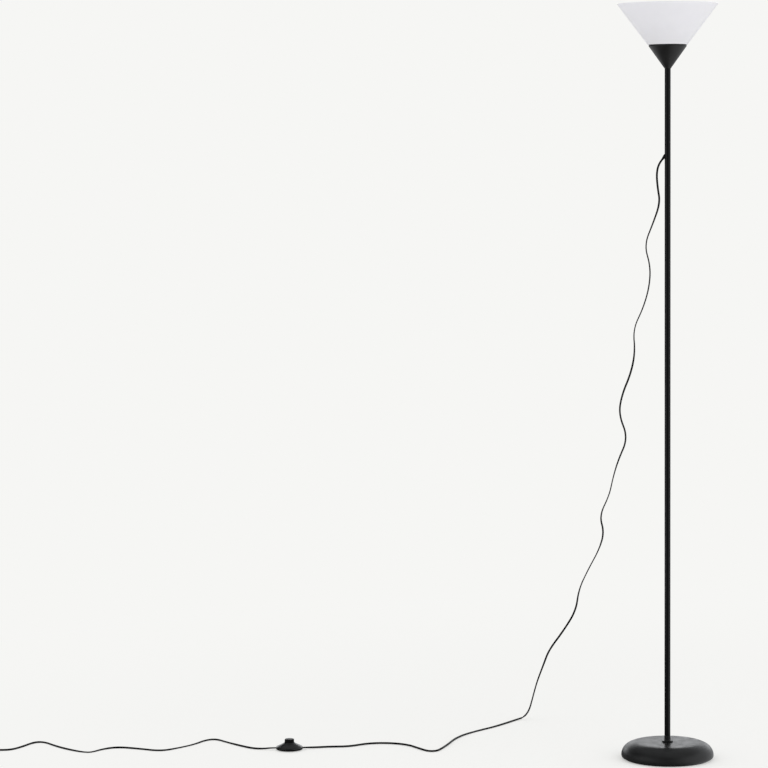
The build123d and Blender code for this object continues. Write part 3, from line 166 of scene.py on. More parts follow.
# Band round the stored turns
TIE_ROOM = 0.8 * MM
TIE_FLOOR_GAP = 0.05 * MM
TIE_HALF_THICKNESS = 0.35 * MM
TIE_STEPS = 56
TIE_SIDES = 12
TIE_LOOP_CORNER = 0.45
TIE_EDGE_CORNER = 0.4

# Plug: widths and heights are shares of the CAD body's, stretches are shares of its length
PLUG_SIDES = 40
PLUG_RINGS = 48
PLUG_CORNER = 0.5
PLUG_EDGE_ROUND = 1.2 * MM
PLUG_REAR_WIDTH = 0.37
PLUG_FLARE_WIDTH = 0.55
PLUG_TAPER_WIDTH = 0.08
PLUG_REAR_HEIGHT = 0.79
PLUG_FLARE_HEIGHT = 0.21
PLUG_FLARE_STRETCH = (0.0, 0.45)
PLUG_GRIP_STRETCH = (0.5, 0.9)
PLUG_GRIPS = 5
PLUG_GRIP_DEPTH = 0.5 * MM
RELIEF_RINGS = 66
RELIEF_TIP_RADIUS = 3.0 * MM
RELIEF_GROOVES = 6
RELIEF_GROOVE_DEPTH = 0.6 * MM
RELIEF_GROOVE_STRETCH = (0.04, 0.93)

# Screw cap of the bulb
THREAD_PITCH = 3.629 * MM
THREAD_DEPTH = 0.9 * MM
THREAD_SIDES = 72
THREAD_ROWS = 88
THREAD_FIRST_SHARE = 0.1
THREAD_LAST_SHARE = 0.12
CAP_FOOT_TAPER = 2.0 * MM

# Foot cover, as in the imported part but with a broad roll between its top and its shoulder
COVER_TOP_RADIUS = 82.0 * MM
COVER_SLOPE = math.radians(23.5)
COVER_ROLL = 29.0 * MM
COVER_TOP_ROLL = 50.0 * MM
COVER_FOOT_INSET = 3.0 * MM
COVER_WALL = 2.5 * MM
COVER_HOLE = 4.1 * MM
COVER_FLAT_RINGS = (0.75, 0.5, 0.25, 0.0)
COVER_SIDES = 144
BOSS_PLACES = 4
BOSS_CIRCLE = 66.0 * MM
BOSS_RADIUS = 5.0 * MM
BOSS_BORE = 1.85 * MM
BOSS_FOOT = 5.0 * MM
BOSS_SINK = 0.3 * MM
BOSS_SIDES = 32
ARC_STEPS = 14
SHARP_EDGE = math.radians(40)

# Pole tubes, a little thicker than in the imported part
POLE_NODES = ("pole_lower", "pole_middle", "pole_upper")
POLE_RADIUS = 7.1 * MM
POLE_BORE = 5.5 * MM
POLE_END_ROUND = 0.5 * MM
POLE_SIDES = 64

# Return spring of the switch
SPRING_TURNS = 5
SPRING_WIRE_RADIUS = 0.5 * MM
SPRING_STEPS = 40
SPRING_SIDES = 10


# Forms

def shown(name, form, body, slot, *nodes):
    """New smooth piece with a form's vertices and faces, riding on a body and standing for CAD nodes."""
    vertices, faces = form
    mesh = bpy.data.meshes.new(name)
    mesh.from_pydata([tuple(vertex) for vertex in vertices], [], faces)
    mesh.validate()
    outward = bmesh.new()
    outward.from_mesh(mesh)
    bmesh.ops.recalc_face_normals(outward, faces=outward.faces)
    outward.to_mesh(mesh)
    outward.free()
    mesh.shade_smooth()
    piece = bpy.data.objects.new(name, mesh)
    bpy.context.scene.collection.objects.link(piece)
    mesh.materials.append(MATERIALS[slot])
    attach(piece, body)
    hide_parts(*nodes)
    return piece


def skin(rings, looped=False):
    """Vertices and faces of a tube through rings of equally many points, with ends or joined to itself."""
    count, rows = len(rings[0]), len(rings)
    vertices = [point for ring in rings for point in ring]
    faces = []
    for row in range(rows if looped else rows - 1):
        here, there = row * count, (row + 1) % rows * count
        for step in range(count):
            after = (step + 1) % count
            faces.append((here + step, here + after, there + after, there + step))
    if not looped:
        faces.append(tuple(reversed(range(count))))
        faces.append(tuple(range(len(vertices) - count, len(vertices))))
    return vertices, faces


def progress(value, stretch):
    """How far a value has come along a stretch, from 0 at its start to 1 at its end."""
    start, end = stretch
    return min(max((value - start) / (end - start), 0.0), 1.0)


def middle_of(node):
    """Middle of a CAD node's box."""
    low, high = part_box(node)
    return (low + high) / 2


def soft_corner(angle, corner):
    """Point of a unit circle, drawn out towards a square as corner falls below 1."""
    across, upward = math.cos(angle), math.sin(angle)
    return math.copysign(abs(across) ** corner, across), math.copysign(abs(upward) ** corner, upward)


def arc_points(middle, radius, start, end):
    """Points of an arc in a (radius, height) section."""
    angles = [start + (end - start) * step / ARC_STEPS for step in range(ARC_STEPS + 1)]
    return [(middle[0] + radius * math.cos(angle), middle[1] + radius * math.sin(angle)) for angle in angles]


def turned_rings(line, sides, x=0.0, y=0.0):
    """Rings of a (radius, height) line turned about an upright axis."""
    angles = [math.tau * step / sides for step in range(sides)]
    return [[(x + r * math.cos(angle), y + r * math.sin(angle), z) for angle in angles] for r, z in line]


def spline_points(points):
    """Points read from a smooth NURBS line that has these control points."""
    curve = bpy.data.curves.new("route", "CURVE")
    curve.dimensions = "3D"
    spline = curve.splines.new("NURBS")
    spline.points.add(len(points) - 1)
    for target, point in zip(spline.points, points):
        target.co = (*point, 1.0)
    spline.order_u = 3
    spline.use_endpoint_u = True
    spline.resolution_u = SPLINE_STEPS
    holder = bpy.data.objects.new("route", curve)
    bpy.context.scene.collection.objects.link(holder)
    bpy.context.view_layer.update()
    graph = bpy.context.evaluated_depsgraph_get()
    line = bpy.data.meshes.new_from_object(holder.evaluated_get(graph))
    found = [vertex.co.copy() for vertex in line.vertices]
    bpy.data.objects.remove(holder)
    bpy.data.meshes.remove(line)
    return found


# Shader nodes

class Graph:
    """Shader nodes of a material or of the world."""

    def __init__(self, owner):
        owner.use_nodes = True
        self.tree = owner.node_tree

    def feed(self, socket, value):
        """Link a socket to another node's, or give it a plain value."""
        if isinstance(value, bpy.types.NodeSocket):
            self.tree.links.new(value, socket)
        elif socket.type == "RGBA":
            socket.default_value = (*value, 1.0)
        else:
            socket.default_value = value

    def node(self, kind, **inputs):
        """New node with the named inputs set."""
        made = self.tree.nodes.new("ShaderNode" + kind)
        for name, value in inputs.items():
            self.feed(made.inputs[name.replace("_", " ")], value)
        return made

    def operation(self, kind, name, *values):
        """New Math or VectorMath node that does the named operation on values."""
        made = self.node(kind)
        made.operation = name
        for socket, value in zip(made.inputs, values):
            self.feed(socket, value)
        return made

    def combine(self, name, first, second):
        """Two numbers put together."""
        return self.operation("Math", name, first, second).outputs["Value"]

    def ramp(self, value, edge, low=0.0, high=1.0, kind="LINEAR"):
        """A value's way through an edge, from low to high."""
        start, end = edge
        made = self.node("MapRange", Value=value, From_Min=start, From_Max=end, To_Min=low, To_Max=high)
        made.interpolation_type = kind
        return made.outputs["Result"]

    def soft_ramp(self, value, edge, low=0.0, high=1.0):
        return self.ramp(value, edge, low, high, "SMOOTHSTEP")

    def mixed(self, factor, first, second):
        """Blend of two colours by a factor."""
        mix = self.node("Mix")
        mix.data_type = "RGBA"
        colour_sockets = [socket for socket in mix.inputs if socket.type == "RGBA"]
        self.feed(mix.inputs[0], factor)
        self.feed(colour_sockets[0], first)
        self.feed(colour_sockets[1], second)
        return next(socket for socket in mix.outputs if socket.type == "RGBA")

    def layered(self, factor, below, above):
        """Mix of two shader nodes' results."""
        mix = self.node("MixShader")
        for socket, value in zip(mix.inputs, (factor, below.outputs[0], above.outputs[0])):
            self.feed(socket, value)
        return mix

    def rays(self, *kinds):
        """1 for the named kinds of ray, else 0."""
        outputs = self.node("LightPath").outputs
        total = outputs[kinds[0]]
        for kind in kinds[1:]:
            total = self.combine("MAXIMUM", total, outputs[kind])
        return total

    def wall_light(self, way, wall, low=0.0):
        """Light of a studio wall, which rises as a direction turns towards it."""
        unit = self.operation("VectorMath", "NORMALIZE", way).outputs["Vector"]
        facing = self.operation("VectorMath", "DOT_PRODUCT", unit, wall["way"]).outputs["Value"]
        return self.soft_ramp(facing, wall["edge"], low, wall["level"])


class Surface(Graph):
    """Principled material whose colour, gloss and relief come from procedural noise."""

    def __init__(self, name, **sockets):
        self.material = bpy.data.materials.new(name)
        super().__init__(self.material)
        self.shader = self.tree.nodes["Principled BSDF"]
        self.place = self.node("TexCoord").outputs["Object"]
        for socket, value in sockets.items():
            self.shade(socket.replace("_", " "), value)

    def shade(self, socket, value):
        """Set one input of the shader."""
        self.feed(self.shader.inputs[socket], value)

    def along(self, axis):
        """Place on one axis of the model."""
        return self.node("SeparateXYZ", Vector=self.place).outputs[axis]

    def noise(self, size, detail=2.0, stretch=(1, 1, 1)):
        """Noise with lumps about size metres across, drawn out along each axis by stretch."""
        scale = [1 / (size * pull) for pull in stretch]
        spread = self.node("Mapping", Vector=self.place, Scale=scale)
        return self.node("TexNoise", Vector=spread.outputs["Vector"], Scale=1.0, Detail=detail).outputs["Fac"]

    def cells(self, size):
        """Distance to the nearest of many scattered points about size metres apart."""
        return self.node("TexVoronoi", Vector=self.place, Scale=1 / size).outputs["Distance"]

    def tone(self, colour, spread, size):
        """Base colour that wanders a little about a mean."""
        dark = tuple(channel * (1 - spread) for channel in colour)
        light = tuple(channel * (1 + spread) for channel in colour)
        patches = self.ramp(self.noise(size, detail=3.0), NOISE_RANGE)
        self.shade("Base Color", self.mixed(patches, dark, light))

    def gloss(self, low, high, size):
        """Roughness that varies over patches of about size metres."""
        self.shade("Roughness", self.ramp(self.noise(size, detail=4.0), NOISE_RANGE, low, high))

    def relief(self, value, depth, strength):
        """Bump of about depth metres from a value, over any bump added before."""
        bump = self.node("Bump", Height=value, Distance=depth, Strength=strength)
        for link in self.shader.inputs["Normal"].links:
            self.feed(bump.inputs["Normal"], link.from_socket)
        self.shade("Normal", bump.outputs["Normal"])


# Materials

def moulded(name, colour, rough, specular, grain=0.45 * MM):
    """Black moulded plastic with a fine spark-eroded grain and a faint uneven sheen."""
    surface = Surface(name, Specular_IOR_Level=specular)
    surface.tone(colour, spread=0.25, size=30 * MM)
    surface.gloss(rough - 0.04, rough + 0.06, size=18 * MM)
    surface.relief(surface.noise(14 * MM, detail=1.0), depth=0.03 * MM, strength=0.5)
    surface.relief(surface.noise(grain), depth=0.005 * MM, strength=0.6)
    return surface.material


def enamelled(name, colour):
    """Sprayed black enamel on tube: a slight orange peel under a satin gloss."""
    surface = Surface(name, Specular_IOR_Level=0.32)
    surface.tone(colour, spread=0.2, size=60 * MM)
    surface.gloss(0.26, 0.36, size=25 * MM)
    surface.relief(surface.noise(1.6 * MM, detail=1.0), depth=0.006 * MM, strength=0.5)
    return surface.material


def flex_skin(name, colour):
    """Soft PVC sheath with a waxy sheen and faint marks along it."""
    surface = Surface(name, Specular_IOR_Level=0.2)
    surface.tone(colour, spread=0.3, size=12 * MM)
    surface.gloss(0.4, 0.55, size=6 * MM)
    surface.relief(surface.noise(0.7 * MM), depth=0.02 * MM, strength=0.5)
    return surface.material


def frosted(name, colour):
    """Frosted white shade: light soaks through the wall, with faint flow marks from the mould."""
    surface = Surface(name, Specular_IOR_Level=0.3, Subsurface_Weight=1.0, Subsurface_Scale=1.0,
                      Subsurface_Radius=(6 * MM, 6 * MM, 6.4 * MM))
    surface.tone(colour, spread=0.012, size=35 * MM)
    surface.gloss(0.36, 0.48, size=30 * MM)
    surface.relief(surface.noise(0.6 * MM), depth=0.015 * MM, strength=0.5)
    return surface.material


def metal(name, colour, rough, stretch=(1, 1, 8)):
    """Drawn or plated metal with fine lines and dull patches."""
    surface = Surface(name, Metallic=1.0)
    surface.tone(colour, spread=0.12, size=4 * MM)
    surface.gloss(rough - 0.06, rough + 0.12, size=3 * MM)
    surface.relief(surface.noise(0.25 * MM, stretch=stretch), depth=0.01 * MM, strength=0.6)
    return surface.material


def stone(name, colour):
    """Cast concrete with sand grains and small air holes."""
    surface = Surface(name, Specular_IOR_Level=0.2)
    surface.tone(colour, spread=0.25, size=3 * MM)
    surface.gloss(0.8, 0.95, size=5 * MM)
    surface.relief(surface.cells(2.2 * MM), depth=0.4 * MM, strength=0.6)
    surface.relief(surface.noise(0.8 * MM, detail=4.0), depth=0.2 * MM, strength=0.6)
    return surface.material


def foam(name, colour):
    """Closed-cell foam or soft rubber with tiny pores."""
    surface = Surface(name, Specular_IOR_Level=0.08)
    surface.tone(colour, spread=0.3, size=2 * MM)
    surface.gloss(0.75, 0.9, size=4 * MM)
    surface.relief(surface.cells(0.7 * MM), depth=0.12 * MM, strength=0.7)
    return surface.material


def smooth_plastic(name, colour, rough, subsurface=0.0):
    """Smooth moulded plastic, glazed insulator or opal bulb."""
    surface = Surface(name, Specular_IOR_Level=0.45, Subsurface_Weight=subsurface, Subsurface_Scale=1.0,
                      Subsurface_Radius=(3 * MM, 3 * MM, 3 * MM))
    surface.tone(colour, spread=0.008, size=15 * MM)
    surface.gloss(rough - 0.04, rough + 0.06, size=10 * MM)
    surface.relief(surface.noise(1.2 * MM), depth=0.008 * MM, strength=0.5)
    return surface.material


def core_wire(name):
    """Two insulated cores: brown on one side of the lamp and blue on the other."""
    surface = Surface(name, Specular_IOR_Level=0.4)
    right = surface.ramp(surface.along("X"), (-CORE_EDGE, CORE_EDGE))
    surface.shade("Base Color", surface.mixed(right, CORE_BROWN, CORE_BLUE))
    surface.gloss(0.35, 0.5, size=3 * MM)
    return surface.material


def plug_pin(name):
    """Plated pin whose half next to the body has a black sleeve."""
    surface = Surface(name)
    sleeve_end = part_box("plug_body")[0].x - PIN_SLEEVE_LENGTH
    sleeved = surface.ramp(surface.along("X"), (sleeve_end, sleeve_end + PIN_SLEEVE_EDGE))
    surface.shade("Base Color", surface.mixed(sleeved, PIN_PLATING, PIN_SLEEVE))
    surface.shade("Metallic", surface.ramp(sleeved, (0.0, 1.0), 1.0, 0.0))
    surface.gloss(0.22, 0.36, size=2 * MM)
    surface.relief(surface.noise(0.3 * MM, stretch=(8, 1, 1)), depth=0.008 * MM, strength=0.6)
    return surface.material


MATERIALS = {
    "black_moulding": moulded("black_moulding", (0.0055, 0.0057, 0.0059), rough=0.36, specular=0.55),
    "black_enamel": enamelled("black_enamel", (0.002, 0.002, 0.0021)),
    "concrete": stone("concrete", (0.36, 0.35, 0.33)),
    "zinc_steel": metal("zinc_steel", (0.55, 0.56, 0.58), rough=0.32),
    "dark_foam": foam("dark_foam", (0.003, 0.003, 0.003)),
    "black_flex": flex_skin("black_flex", (0.0025, 0.0025, 0.0026)),
    "core_wire": core_wire("core_wire"),
    "frosted_shade": frosted("frosted_shade", (0.735, 0.73, 0.765)),
    "black_resin": moulded("black_resin", (0.008, 0.008, 0.008), rough=0.45, specular=0.35),
    "pale_insulator": smooth_plastic("pale_insulator", (0.72, 0.70, 0.65), rough=0.25),
    "contact_brass": metal("contact_brass", (0.70, 0.50, 0.22), rough=0.3),
    "dark_glass": smooth_plastic("dark_glass", (0.012, 0.009, 0.012), rough=0.12),
    "bulb_cap_metal": metal("bulb_cap_metal", (0.62, 0.62, 0.63), rough=0.3, stretch=(4, 4, 1)),
    "bulb_white": smooth_plastic("bulb_white", (0.80, 0.80, 0.79), rough=0.32),
    "bulb_opal": smooth_plastic("bulb_opal", (0.88, 0.88, 0.87), rough=0.3, subsurface=0.6),
    "switch_black": moulded("switch_black", SWITCH_COLOUR, rough=0.28, specular=0.58, grain=0.35 * MM),
    "switch_inner": smooth_plastic("switch_inner", (0.62, 0.61, 0.57), rough=0.4),
    "tie_black": foam("tie_black", (0.01, 0.01, 0.01)),
    "plated_pin": plug_pin("plated_pin"),
}
NODE_FINISHES = {
    "fitter_cup": moulded("fitter_black", (0.012, 0.012, 0.012), rough=0.38, specular=0.35),
    "switch_button": moulded("button_black", SWITCH_COLOUR, rough=0.42, specular=0.35, grain=0.35 * MM),
}


def finish_cad_nodes():
    """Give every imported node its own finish, or else the material of its slot."""
    for row in frame["record"]["subparts"]:
        materials = NODES[row["node"]].data.materials
        materials.clear()
        materials.append(NODE_FINISHES.get(row["node"], MATERIALS[row["material_slot"]]))


# Flex

def lying_height(roll):
    """Height of the flex's middle above the floor, in metres, for a roll in degrees."""
    return FLEX_CORE_RADIUS + FLEX_CORE_OFFSET * math.sin(math.radians(roll)) + FLEX_FLOOR_GAP


def route_in_metres(route):
    """Control points and rolls of a hand-written route."""
    points, rolls = [], []
    for x, y, height, roll in route:
        points.append((x * MM, y * MM, lying_height(roll) if height is None else height * MM))
        rolls.append(roll)
    return points, rolls


def coil_route():
    """Turns of the stored flex: in on the lower layer, up, and out on the upper one to the plug."""
    centre_x, centre_y = COIL_CENTRE
    middle = COIL_TURNS / 2
    hold = COIL_CLIMB_TURNS / 2
    route = []
    for step in range(1, COIL_TURNS * COIL_POINTS_PER_TURN):
        turn = step / COIL_POINTS_PER_TURN
        away = min(max(abs(turn - middle) - hold, 0), middle - COIL_CLIMB_TURNS)
        radius = COIL_INNER_RADIUS + COIL_TURN_STEP * away
        climb = 2 * progress(turn, (middle - hold, middle + hold)) - 1
        height = COIL_LOW + (COIL_HIGH - COIL_LOW) * (1 + math.sin(climb * math.pi / 2)) / 2
        angle = math.pi / 2 + math.tau * turn
        x, y = centre_x + radius * math.cos(angle), centre_y + radius * math.sin(angle)
        route.append((x, y, height, COIL_ROLL))
    lead_y = centre_y + COIL_OUTER_RADIUS
    return route + [(centre_x + x, lead_y, height, roll) for x, height, roll in PLUG_LEAD]


def twin_section():
    """Outline of the flat twin flex: two round cores with a groove between them, as (width, thickness)."""
    outline = []
    for side in (1, -1):
        for step in range(FLEX_ARC_STEPS):
            angle = math.radians(FLEX_CORE_ARC_DEG * (2 * step / (FLEX_ARC_STEPS - 1) - 1))
            across = FLEX_CORE_OFFSET + FLEX_CORE_RADIUS * math.cos(angle)
            outline.append((side * across, side * FLEX_CORE_RADIUS * math.sin(angle)))
        outline.append((0.0, side * FLEX_GROOVE))
    return outline


def flex_rings(points, rolls):
    """Rings of the flat section along a line, turned by its rolls."""
    section = twin_section()
    last = len(points) - 1
    rings = []
    for place, point in enumerate(points):
        way = (points[min(place + 1, last)] - points[max(place - 1, 0)]).normalized()
        hanging = progress(abs(way.z), FLEX_HANGING_SLOPE)
        reference = Vector((0.0, hanging, 1.0 - hanging)).normalized()
        across = way.cross(reference).normalized()
        upward = across.cross(way).normalized()
        angle = math.radians(rolls[place])
        wide = across * math.cos(angle) + upward * math.sin(angle)
        thick = wide.cross(way)
        rings.append([point + wide * u + thick * v for u, v in section])
    return rings


def flex(name, route, nodes, **facts):
    """Flat flex along a route, which leaves the object at the route's first point."""
    points, rolls = route_in_metres(route)
    line = spline_points(points)
    turned = [point.x for point in spline_points([(roll, 0.0, 0.0) for roll in rolls])]
    piece = shown(name, skin(flex_rings(line, turned)), "lamp", "black_flex", *nodes)
    return piece


def tie_band():
    """Soft band round the stored turns."""
    low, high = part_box("coil_tie")
    top = COIL_HIGH * MM + FLEX_WIDTH / 2 + TIE_ROOM
    middle = Vector(((low.x + high.x) / 2, (low.y + high.y) / 2, top / 2))
    half_width, deep, tall = (high.x - low.x) / 2, (high.y - low.y) / 2, top / 2 - TIE_FLOOR_GAP
    loop = []
    for step in range(TIE_STEPS):
        y, z = soft_corner(math.tau * step / TIE_STEPS, TIE_LOOP_CORNER)
        loop.append(middle + Vector((0.0, y * deep, z * tall)))
    rings = []
    for step, point in enumerate(loop):
        way = (loop[(step + 1) % TIE_STEPS] - loop[step - 1]).normalized()
        out = way.cross(Vector((1, 0, 0))).normalized()
        ring = []
        for side in range(TIE_SIDES):
            angle = math.tau * side / TIE_SIDES
            across = soft_corner(angle, TIE_EDGE_CORNER)[0] * half_width
            lift = (math.sin(angle) - 1) * TIE_HALF_THICKNESS
            ring.append(point + Vector((across, 0, 0)) + out * lift)
        rings.append(ring)
    return shown("tie_band", skin(rings, looped=True), "lamp", "tie_black", "coil_tie")


# Plug

def plug_ring(x, middle, half_width, half_height, corner=1.0):
    """Ring of points that stands across the X axis, round or nearer to a rectangle."""
    ring = []
    for step in range(PLUG_SIDES):
        across, upward = soft_corner(math.tau * step / PLUG_SIDES, corner)
        ring.append((x, middle.y + across * half_width, middle.z + upward * half_height))
    return ring


def plug_shell():
    """Moulded plug body: softened all round, flared from the flex, with finger ridges on its flanks."""
    low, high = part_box("plug_body")
    middle = middle_of("plug_body")
    length, wide, tall = high.x - low.x, (high.y - low.y) / 2, (high.z - low.z) / 2
    rings = []
    for step in range(PLUG_RINGS + 1):
        share = step / PLUG_RINGS
        flare = math.sin(progress(share, PLUG_FLARE_STRETCH) * math.pi / 2)
        width = wide * (PLUG_REAR_WIDTH + PLUG_FLARE_WIDTH * flare + PLUG_TAPER_WIDTH * share)
        height = tall * (PLUG_REAR_HEIGHT + PLUG_FLARE_HEIGHT * flare)
        grip = PLUG_GRIP_DEPTH * math.sin(math.pi * PLUG_GRIPS * progress(share, PLUG_GRIP_STRETCH)) ** 2
        short = max(PLUG_EDGE_ROUND - min(share, 1 - share) * length, 0.0)
        soften = PLUG_EDGE_ROUND - math.sqrt(PLUG_EDGE_ROUND ** 2 - short ** 2)
        x = high.x - share * length
        rings.append(plug_ring(x, middle, width - soften - grip, height - soften, PLUG_CORNER))
    return shown("plug_shell", skin(rings), "lamp", "switch_black", "plug_body")


def plug_sleeve():
    """Tapered strain relief with grooves that let it bend."""
    low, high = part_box("plug_relief")
    middle = middle_of("plug_relief")
    root = (high.y - low.y) / 2
    first, last = RELIEF_GROOVE_STRETCH
    rings = []
    for step in range(RELIEF_RINGS + 1):
        share = step / RELIEF_RINGS
        radius = RELIEF_TIP_RADIUS + (root - RELIEF_TIP_RADIUS) * share
        if first <= share <= last:
            wave = math.sin(share * math.tau * RELIEF_GROOVES - math.pi / 2)
            radius -= RELIEF_GROOVE_DEPTH * math.sqrt(max(wave, 0.0))
        x = high.x - share * (high.x - low.x)
        rings.append(plug_ring(x, middle, radius, radius))
    return shown("plug_sleeve", skin(rings), "lamp", "black_flex", "plug_relief")


# Bulb

def bulb_thread():
    """Rolled screw cap of the bulb."""
    low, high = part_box("bulb_cap")
    crest = (high.x - low.x) / 2
    height = high.z - low.z
    rings = []
    for row in range(THREAD_ROWS + 1):
        share = row / THREAD_ROWS
        z = low.z + share * height
        full = min(share / THREAD_FIRST_SHARE, (1 - share) / THREAD_LAST_SHARE, 1.0)
        taper = max(CAP_FOOT_TAPER - share * height, 0.0)
        ring = []
        for step in range(THREAD_SIDES):
            angle = math.tau * step / THREAD_SIDES
            wave = 0.5 - 0.5 * math.cos(math.tau * z / THREAD_PITCH - angle)
            radius = crest - taper - THREAD_DEPTH * wave * full
            ring.append((radius * math.cos(angle), radius * math.sin(angle), z))
        rings.append(ring)
    return shown("bulb_thread", skin(rings), "bulb", "bulb_cap_metal", "bulb_cap")


# Foot and pole

def cover_line(inset, top_roll):
    """Face of the cover from its foot to its hole, moved in by inset, as (radius, height) points."""
    low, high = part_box("base_cover")
    roll_middle = high.x - COVER_ROLL
    slope_run = roll_middle + COVER_ROLL * math.sin(COVER_SLOPE) - COVER_TOP_RADIUS
    widest = high.z - slope_run * math.tan(COVER_SLOPE) - COVER_ROLL * math.cos(COVER_SLOPE)
    drop = widest - low.z
    foot = (drop ** 2 + COVER_FOOT_INSET ** 2) / (2 * COVER_FOOT_INSET)
    steep = math.pi / 2 - COVER_SLOPE
    top_end = COVER_TOP_RADIUS - (inset + top_roll) * math.tan(COVER_SLOPE / 2)
    top = high.z - inset
    line = arc_points((high.x - foot, widest), foot - inset, -math.asin(drop / foot), 0.0)
    line += arc_points((roll_middle, widest), COVER_ROLL - inset, 0.0, steep)[1:]
    line += arc_points((top_end, top - top_roll), top_roll, steep, math.pi / 2)
    return line + [(COVER_HOLE + (top_end - COVER_HOLE) * share, top) for share in COVER_FLAT_RINGS]


def foot_cover():
    """Moulded cover of the foot with the screw bosses under its top."""
    line = cover_line(0.0, COVER_TOP_ROLL) + cover_line(COVER_WALL, COVER_WALL)[::-1]
    vertices, faces = skin(turned_rings(line, COVER_SIDES), looped=True)
    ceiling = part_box("base_cover")[1].z - COVER_WALL + BOSS_SINK
    boss = [(BOSS_RADIUS, BOSS_FOOT), (BOSS_RADIUS, ceiling), (BOSS_BORE, ceiling), (BOSS_BORE, BOSS_FOOT)]
    for place in range(BOSS_PLACES):
        angle = math.tau * (place + 0.5) / BOSS_PLACES
        rings = turned_rings(boss, BOSS_SIDES, BOSS_CIRCLE * math.cos(angle), BOSS_CIRCLE * math.sin(angle))
        boss_vertices, boss_faces = skin(rings, looped=True)
        faces += [tuple(corner + len(vertices) for corner in face) for face in boss_faces]
        vertices += boss_vertices
    piece = shown("foot_cover", (vertices, faces), "lamp", "black_moulding", "base_cover")
    piece.data.set_sharp_from_angle(angle=SHARP_EDGE)
    return piece


def pole_tube(node):
    """One length of painted tube with rounded ends, which show as a fine groove at each seam."""
    low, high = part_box(node)
    flat = POLE_RADIUS - POLE_END_ROUND
    line = [(POLE_BORE, low.z)]
    line += arc_points((flat, low.z + POLE_END_ROUND), POLE_END_ROUND, -math.pi / 2, 0.0)
    line += arc_points((flat, high.z - POLE_END_ROUND), POLE_END_ROUND, 0.0, math.pi / 2)
    line += [(POLE_BORE, high.z)]
    form = skin(turned_rings(line, POLE_SIDES), looped=True)
    piece = shown("painted_" + node, form, "lamp", "black_enamel", node)
    piece.data.set_sharp_from_angle(angle=SHARP_EDGE)
    return piece


# Switch

def return_spring():
    """Coil spring under the button."""
    low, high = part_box("switch_spring")
    middle = middle_of("switch_spring")
    upward = Vector((0.0, 0.0, 1.0))
    radius = (high.x - low.x) / 2 - SPRING_WIRE_RADIUS
    length = high.z - low.z
    steps = SPRING_TURNS * SPRING_STEPS
    rings = []
    for step in range(steps + 1):
        angle = math.tau * step / SPRING_STEPS
        out = Vector((math.cos(angle), math.sin(angle), 0.0))
        height = low.z + SPRING_WIRE_RADIUS + (length - 2 * SPRING_WIRE_RADIUS) * step / steps
        point = Vector((middle.x, middle.y, height)) + out * radius
        ring = []
        for side in range(SPRING_SIDES):
            turn = math.tau * side / SPRING_SIDES
            ring.append(point + (out * math.cos(turn) + upward * math.sin(turn)) * SPRING_WIRE_RADIUS)
        rings.append(ring)
    piece = shown("return_spring", skin(rings), "lamp", "zinc_steel", "switch_spring")
    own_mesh(piece)
    return piece


# Stage

def floor_material():
    """Lit floor that fades into the backdrop.

    Reflections see it lit near the lamp, and further off as the studio's bright and dark sides.
    """
    material = bpy.data.materials.new("floor")
    graph = Graph(material)
    graph.tree.nodes.clear()
    place = graph.node("TexCoord").outputs["Object"]
    away = graph.operation("VectorMath", "LENGTH", place).outputs["Value"]
    bright_side = graph.wall_light(place, BRIGHT_SIDE, FLOOR_DARK_LEVEL)
    far_side = graph.wall_light(place, FLOOR_FAR_SIDE)
    far_side = graph.combine("MULTIPLY", far_side, graph.soft_ramp(away, FLOOR_FAR_START))
    level = graph.combine("MAXIMUM", bright_side, far_side)
    lit = graph.node("BsdfDiffuse", Color=FLOOR_ALBEDO)
    pale = graph.node("Emission", Color=BACKDROP)
    mirrored = graph.node("Emission", Color=STUDIO_LIGHT, Strength=level)
    seen = graph.combine("MULTIPLY", graph.rays("Is Camera Ray", "Is Transmission Ray"),
                      graph.soft_ramp(away, FLOOR_FADE, 1 - FLOOR_SHADOW_SHARE))
    reflected = graph.combine("MULTIPLY", graph.rays("Is Glossy Ray"),
                           graph.soft_ramp(away, FLOOR_MIRROR_FADE, FLOOR_MIRROR_NEAR))
    surface = graph.layered(reflected, graph.layered(seen, lit, pale), mirrored)
    graph.node("OutputMaterial", Surface=surface.outputs[0])
    return material


def make_floor():
    """Pale floor that keeps the lamp's shadow."""
    half = FLOOR_SIZE / 2
    corners = [(-half, -half, 0), (half, -half, 0), (half, half, 0), (-half, half, 0)]
    mesh = bpy.data.meshes.new("floor")
    mesh.from_pydata(corners, [], [(0, 1, 2, 3)])
    mesh.materials.append(floor_material())
    floor = bpy.data.objects.new("floor", mesh)
    floor.location.z = FLOOR_LEVEL
    bpy.context.scene.collection.objects.link(floor)


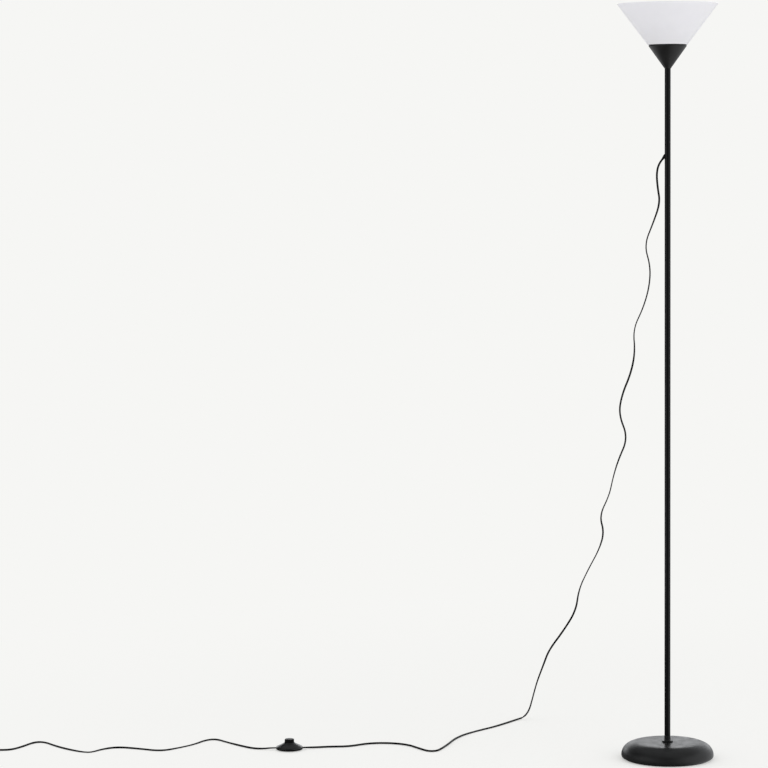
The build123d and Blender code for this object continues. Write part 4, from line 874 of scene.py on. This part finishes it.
def make_world():
    """Pale backdrop for the camera, even light for matt faces, and a studio for glossy ones."""
    world = bpy.data.worlds.new("studio")
    bpy.context.scene.world = world
    world.cycles.sampling_method = "NONE"
    graph = Graph(world)
    graph.tree.nodes.clear()
    way = graph.node("TexCoord").outputs["Generated"]
    height = graph.node("SeparateXYZ", Vector=way).outputs["Z"]
    studio = DARK_LEVEL
    for wall in STUDIO_WALLS:
        lit = graph.wall_light(way, wall)
        if "foot" in wall:
            lit = graph.combine("MULTIPLY", lit, graph.soft_ramp(height, wall["foot"]))
        if "top" in wall:
            lit = graph.combine("MULTIPLY", lit, graph.soft_ramp(height, wall["top"], 1.0, 0.0))
        studio = graph.combine("MAXIMUM", lit, studio)
    seen = graph.node("Background", Color=BACKDROP)
    glossy = graph.node("Background", Color=STUDIO_LIGHT, Strength=studio)
    even = graph.node("Background", Color=AMBIENT)
    light = graph.layered(graph.rays("Is Glossy Ray"), even, glossy)
    light = graph.layered(graph.rays("Is Camera Ray", "Is Transmission Ray"), light, seen)
    graph.node("OutputWorld", Surface=light.outputs[0])


def make_key_light():
    """Large softbox high on the right."""
    data = bpy.data.lights.new("key", "AREA")
    data.size = KEY_SIZE
    data.energy = KEY_WATTS
    key = bpy.data.objects.new("key", data)
    key.location = KEY_PLACE
    key.visible_glossy = False
    key.rotation_mode = "QUATERNION"
    key.rotation_quaternion = (Vector(KEY_TARGET) - Vector(KEY_PLACE)).to_track_quat("-Z", "Y")
    bpy.context.scene.collection.objects.link(key)


def make_camera():
    """Camera at the photograph's viewpoint."""
    data = bpy.data.cameras.new("camera")
    data.sensor_width = SENSOR_MM
    data.lens = FOCAL_PIXELS / IMAGE_PIXELS * SENSOR_MM
    data.clip_end = CAMERA_REACH
    camera = bpy.data.objects.new("camera", data)
    tilt = Matrix.Rotation(math.radians(90 - CAMERA_PITCH_DEG), 4, "X")
    roll = Matrix.Rotation(math.radians(CAMERA_ROLL_DEG), 4, "Z")
    camera.matrix_world = Matrix.Translation(CAMERA_PLACE) @ tilt @ roll
    bpy.context.scene.collection.objects.link(camera)
    bpy.context.scene.camera = camera


def main():
    bpy.context.scene.view_settings.view_transform = "Standard"
    make_camera()
    make_world()
    make_key_light()
    make_floor()
    finish_cad_nodes()
    switch_nodes = [name for name in NODES if name.startswith(("switch_", "contact_"))]
    switch_nodes.remove("switch_spring")
    switch_pieces = [NODES[name] for name in switch_nodes] + [return_spring()]
    flex("flex_to_switch", ROUTE_TO_SWITCH, ["cord_to_switch"],
         far_end="fitting", lay="hanging", with_pieces=switch_pieces)
    plug_pieces = [plug_shell(), plug_sleeve(), tie_band(), NODES["plug_pins"]]
    flex("flex_to_plug", ROUTE_TO_COIL + coil_route(), ["cord_to_coil", "cord_coil"],
         far_end="plug", lay="loose", with_pieces=plug_pieces)
    bulb_thread()
    foot_cover()
    for node in POLE_NODES:
        pole_tube(node)


main()
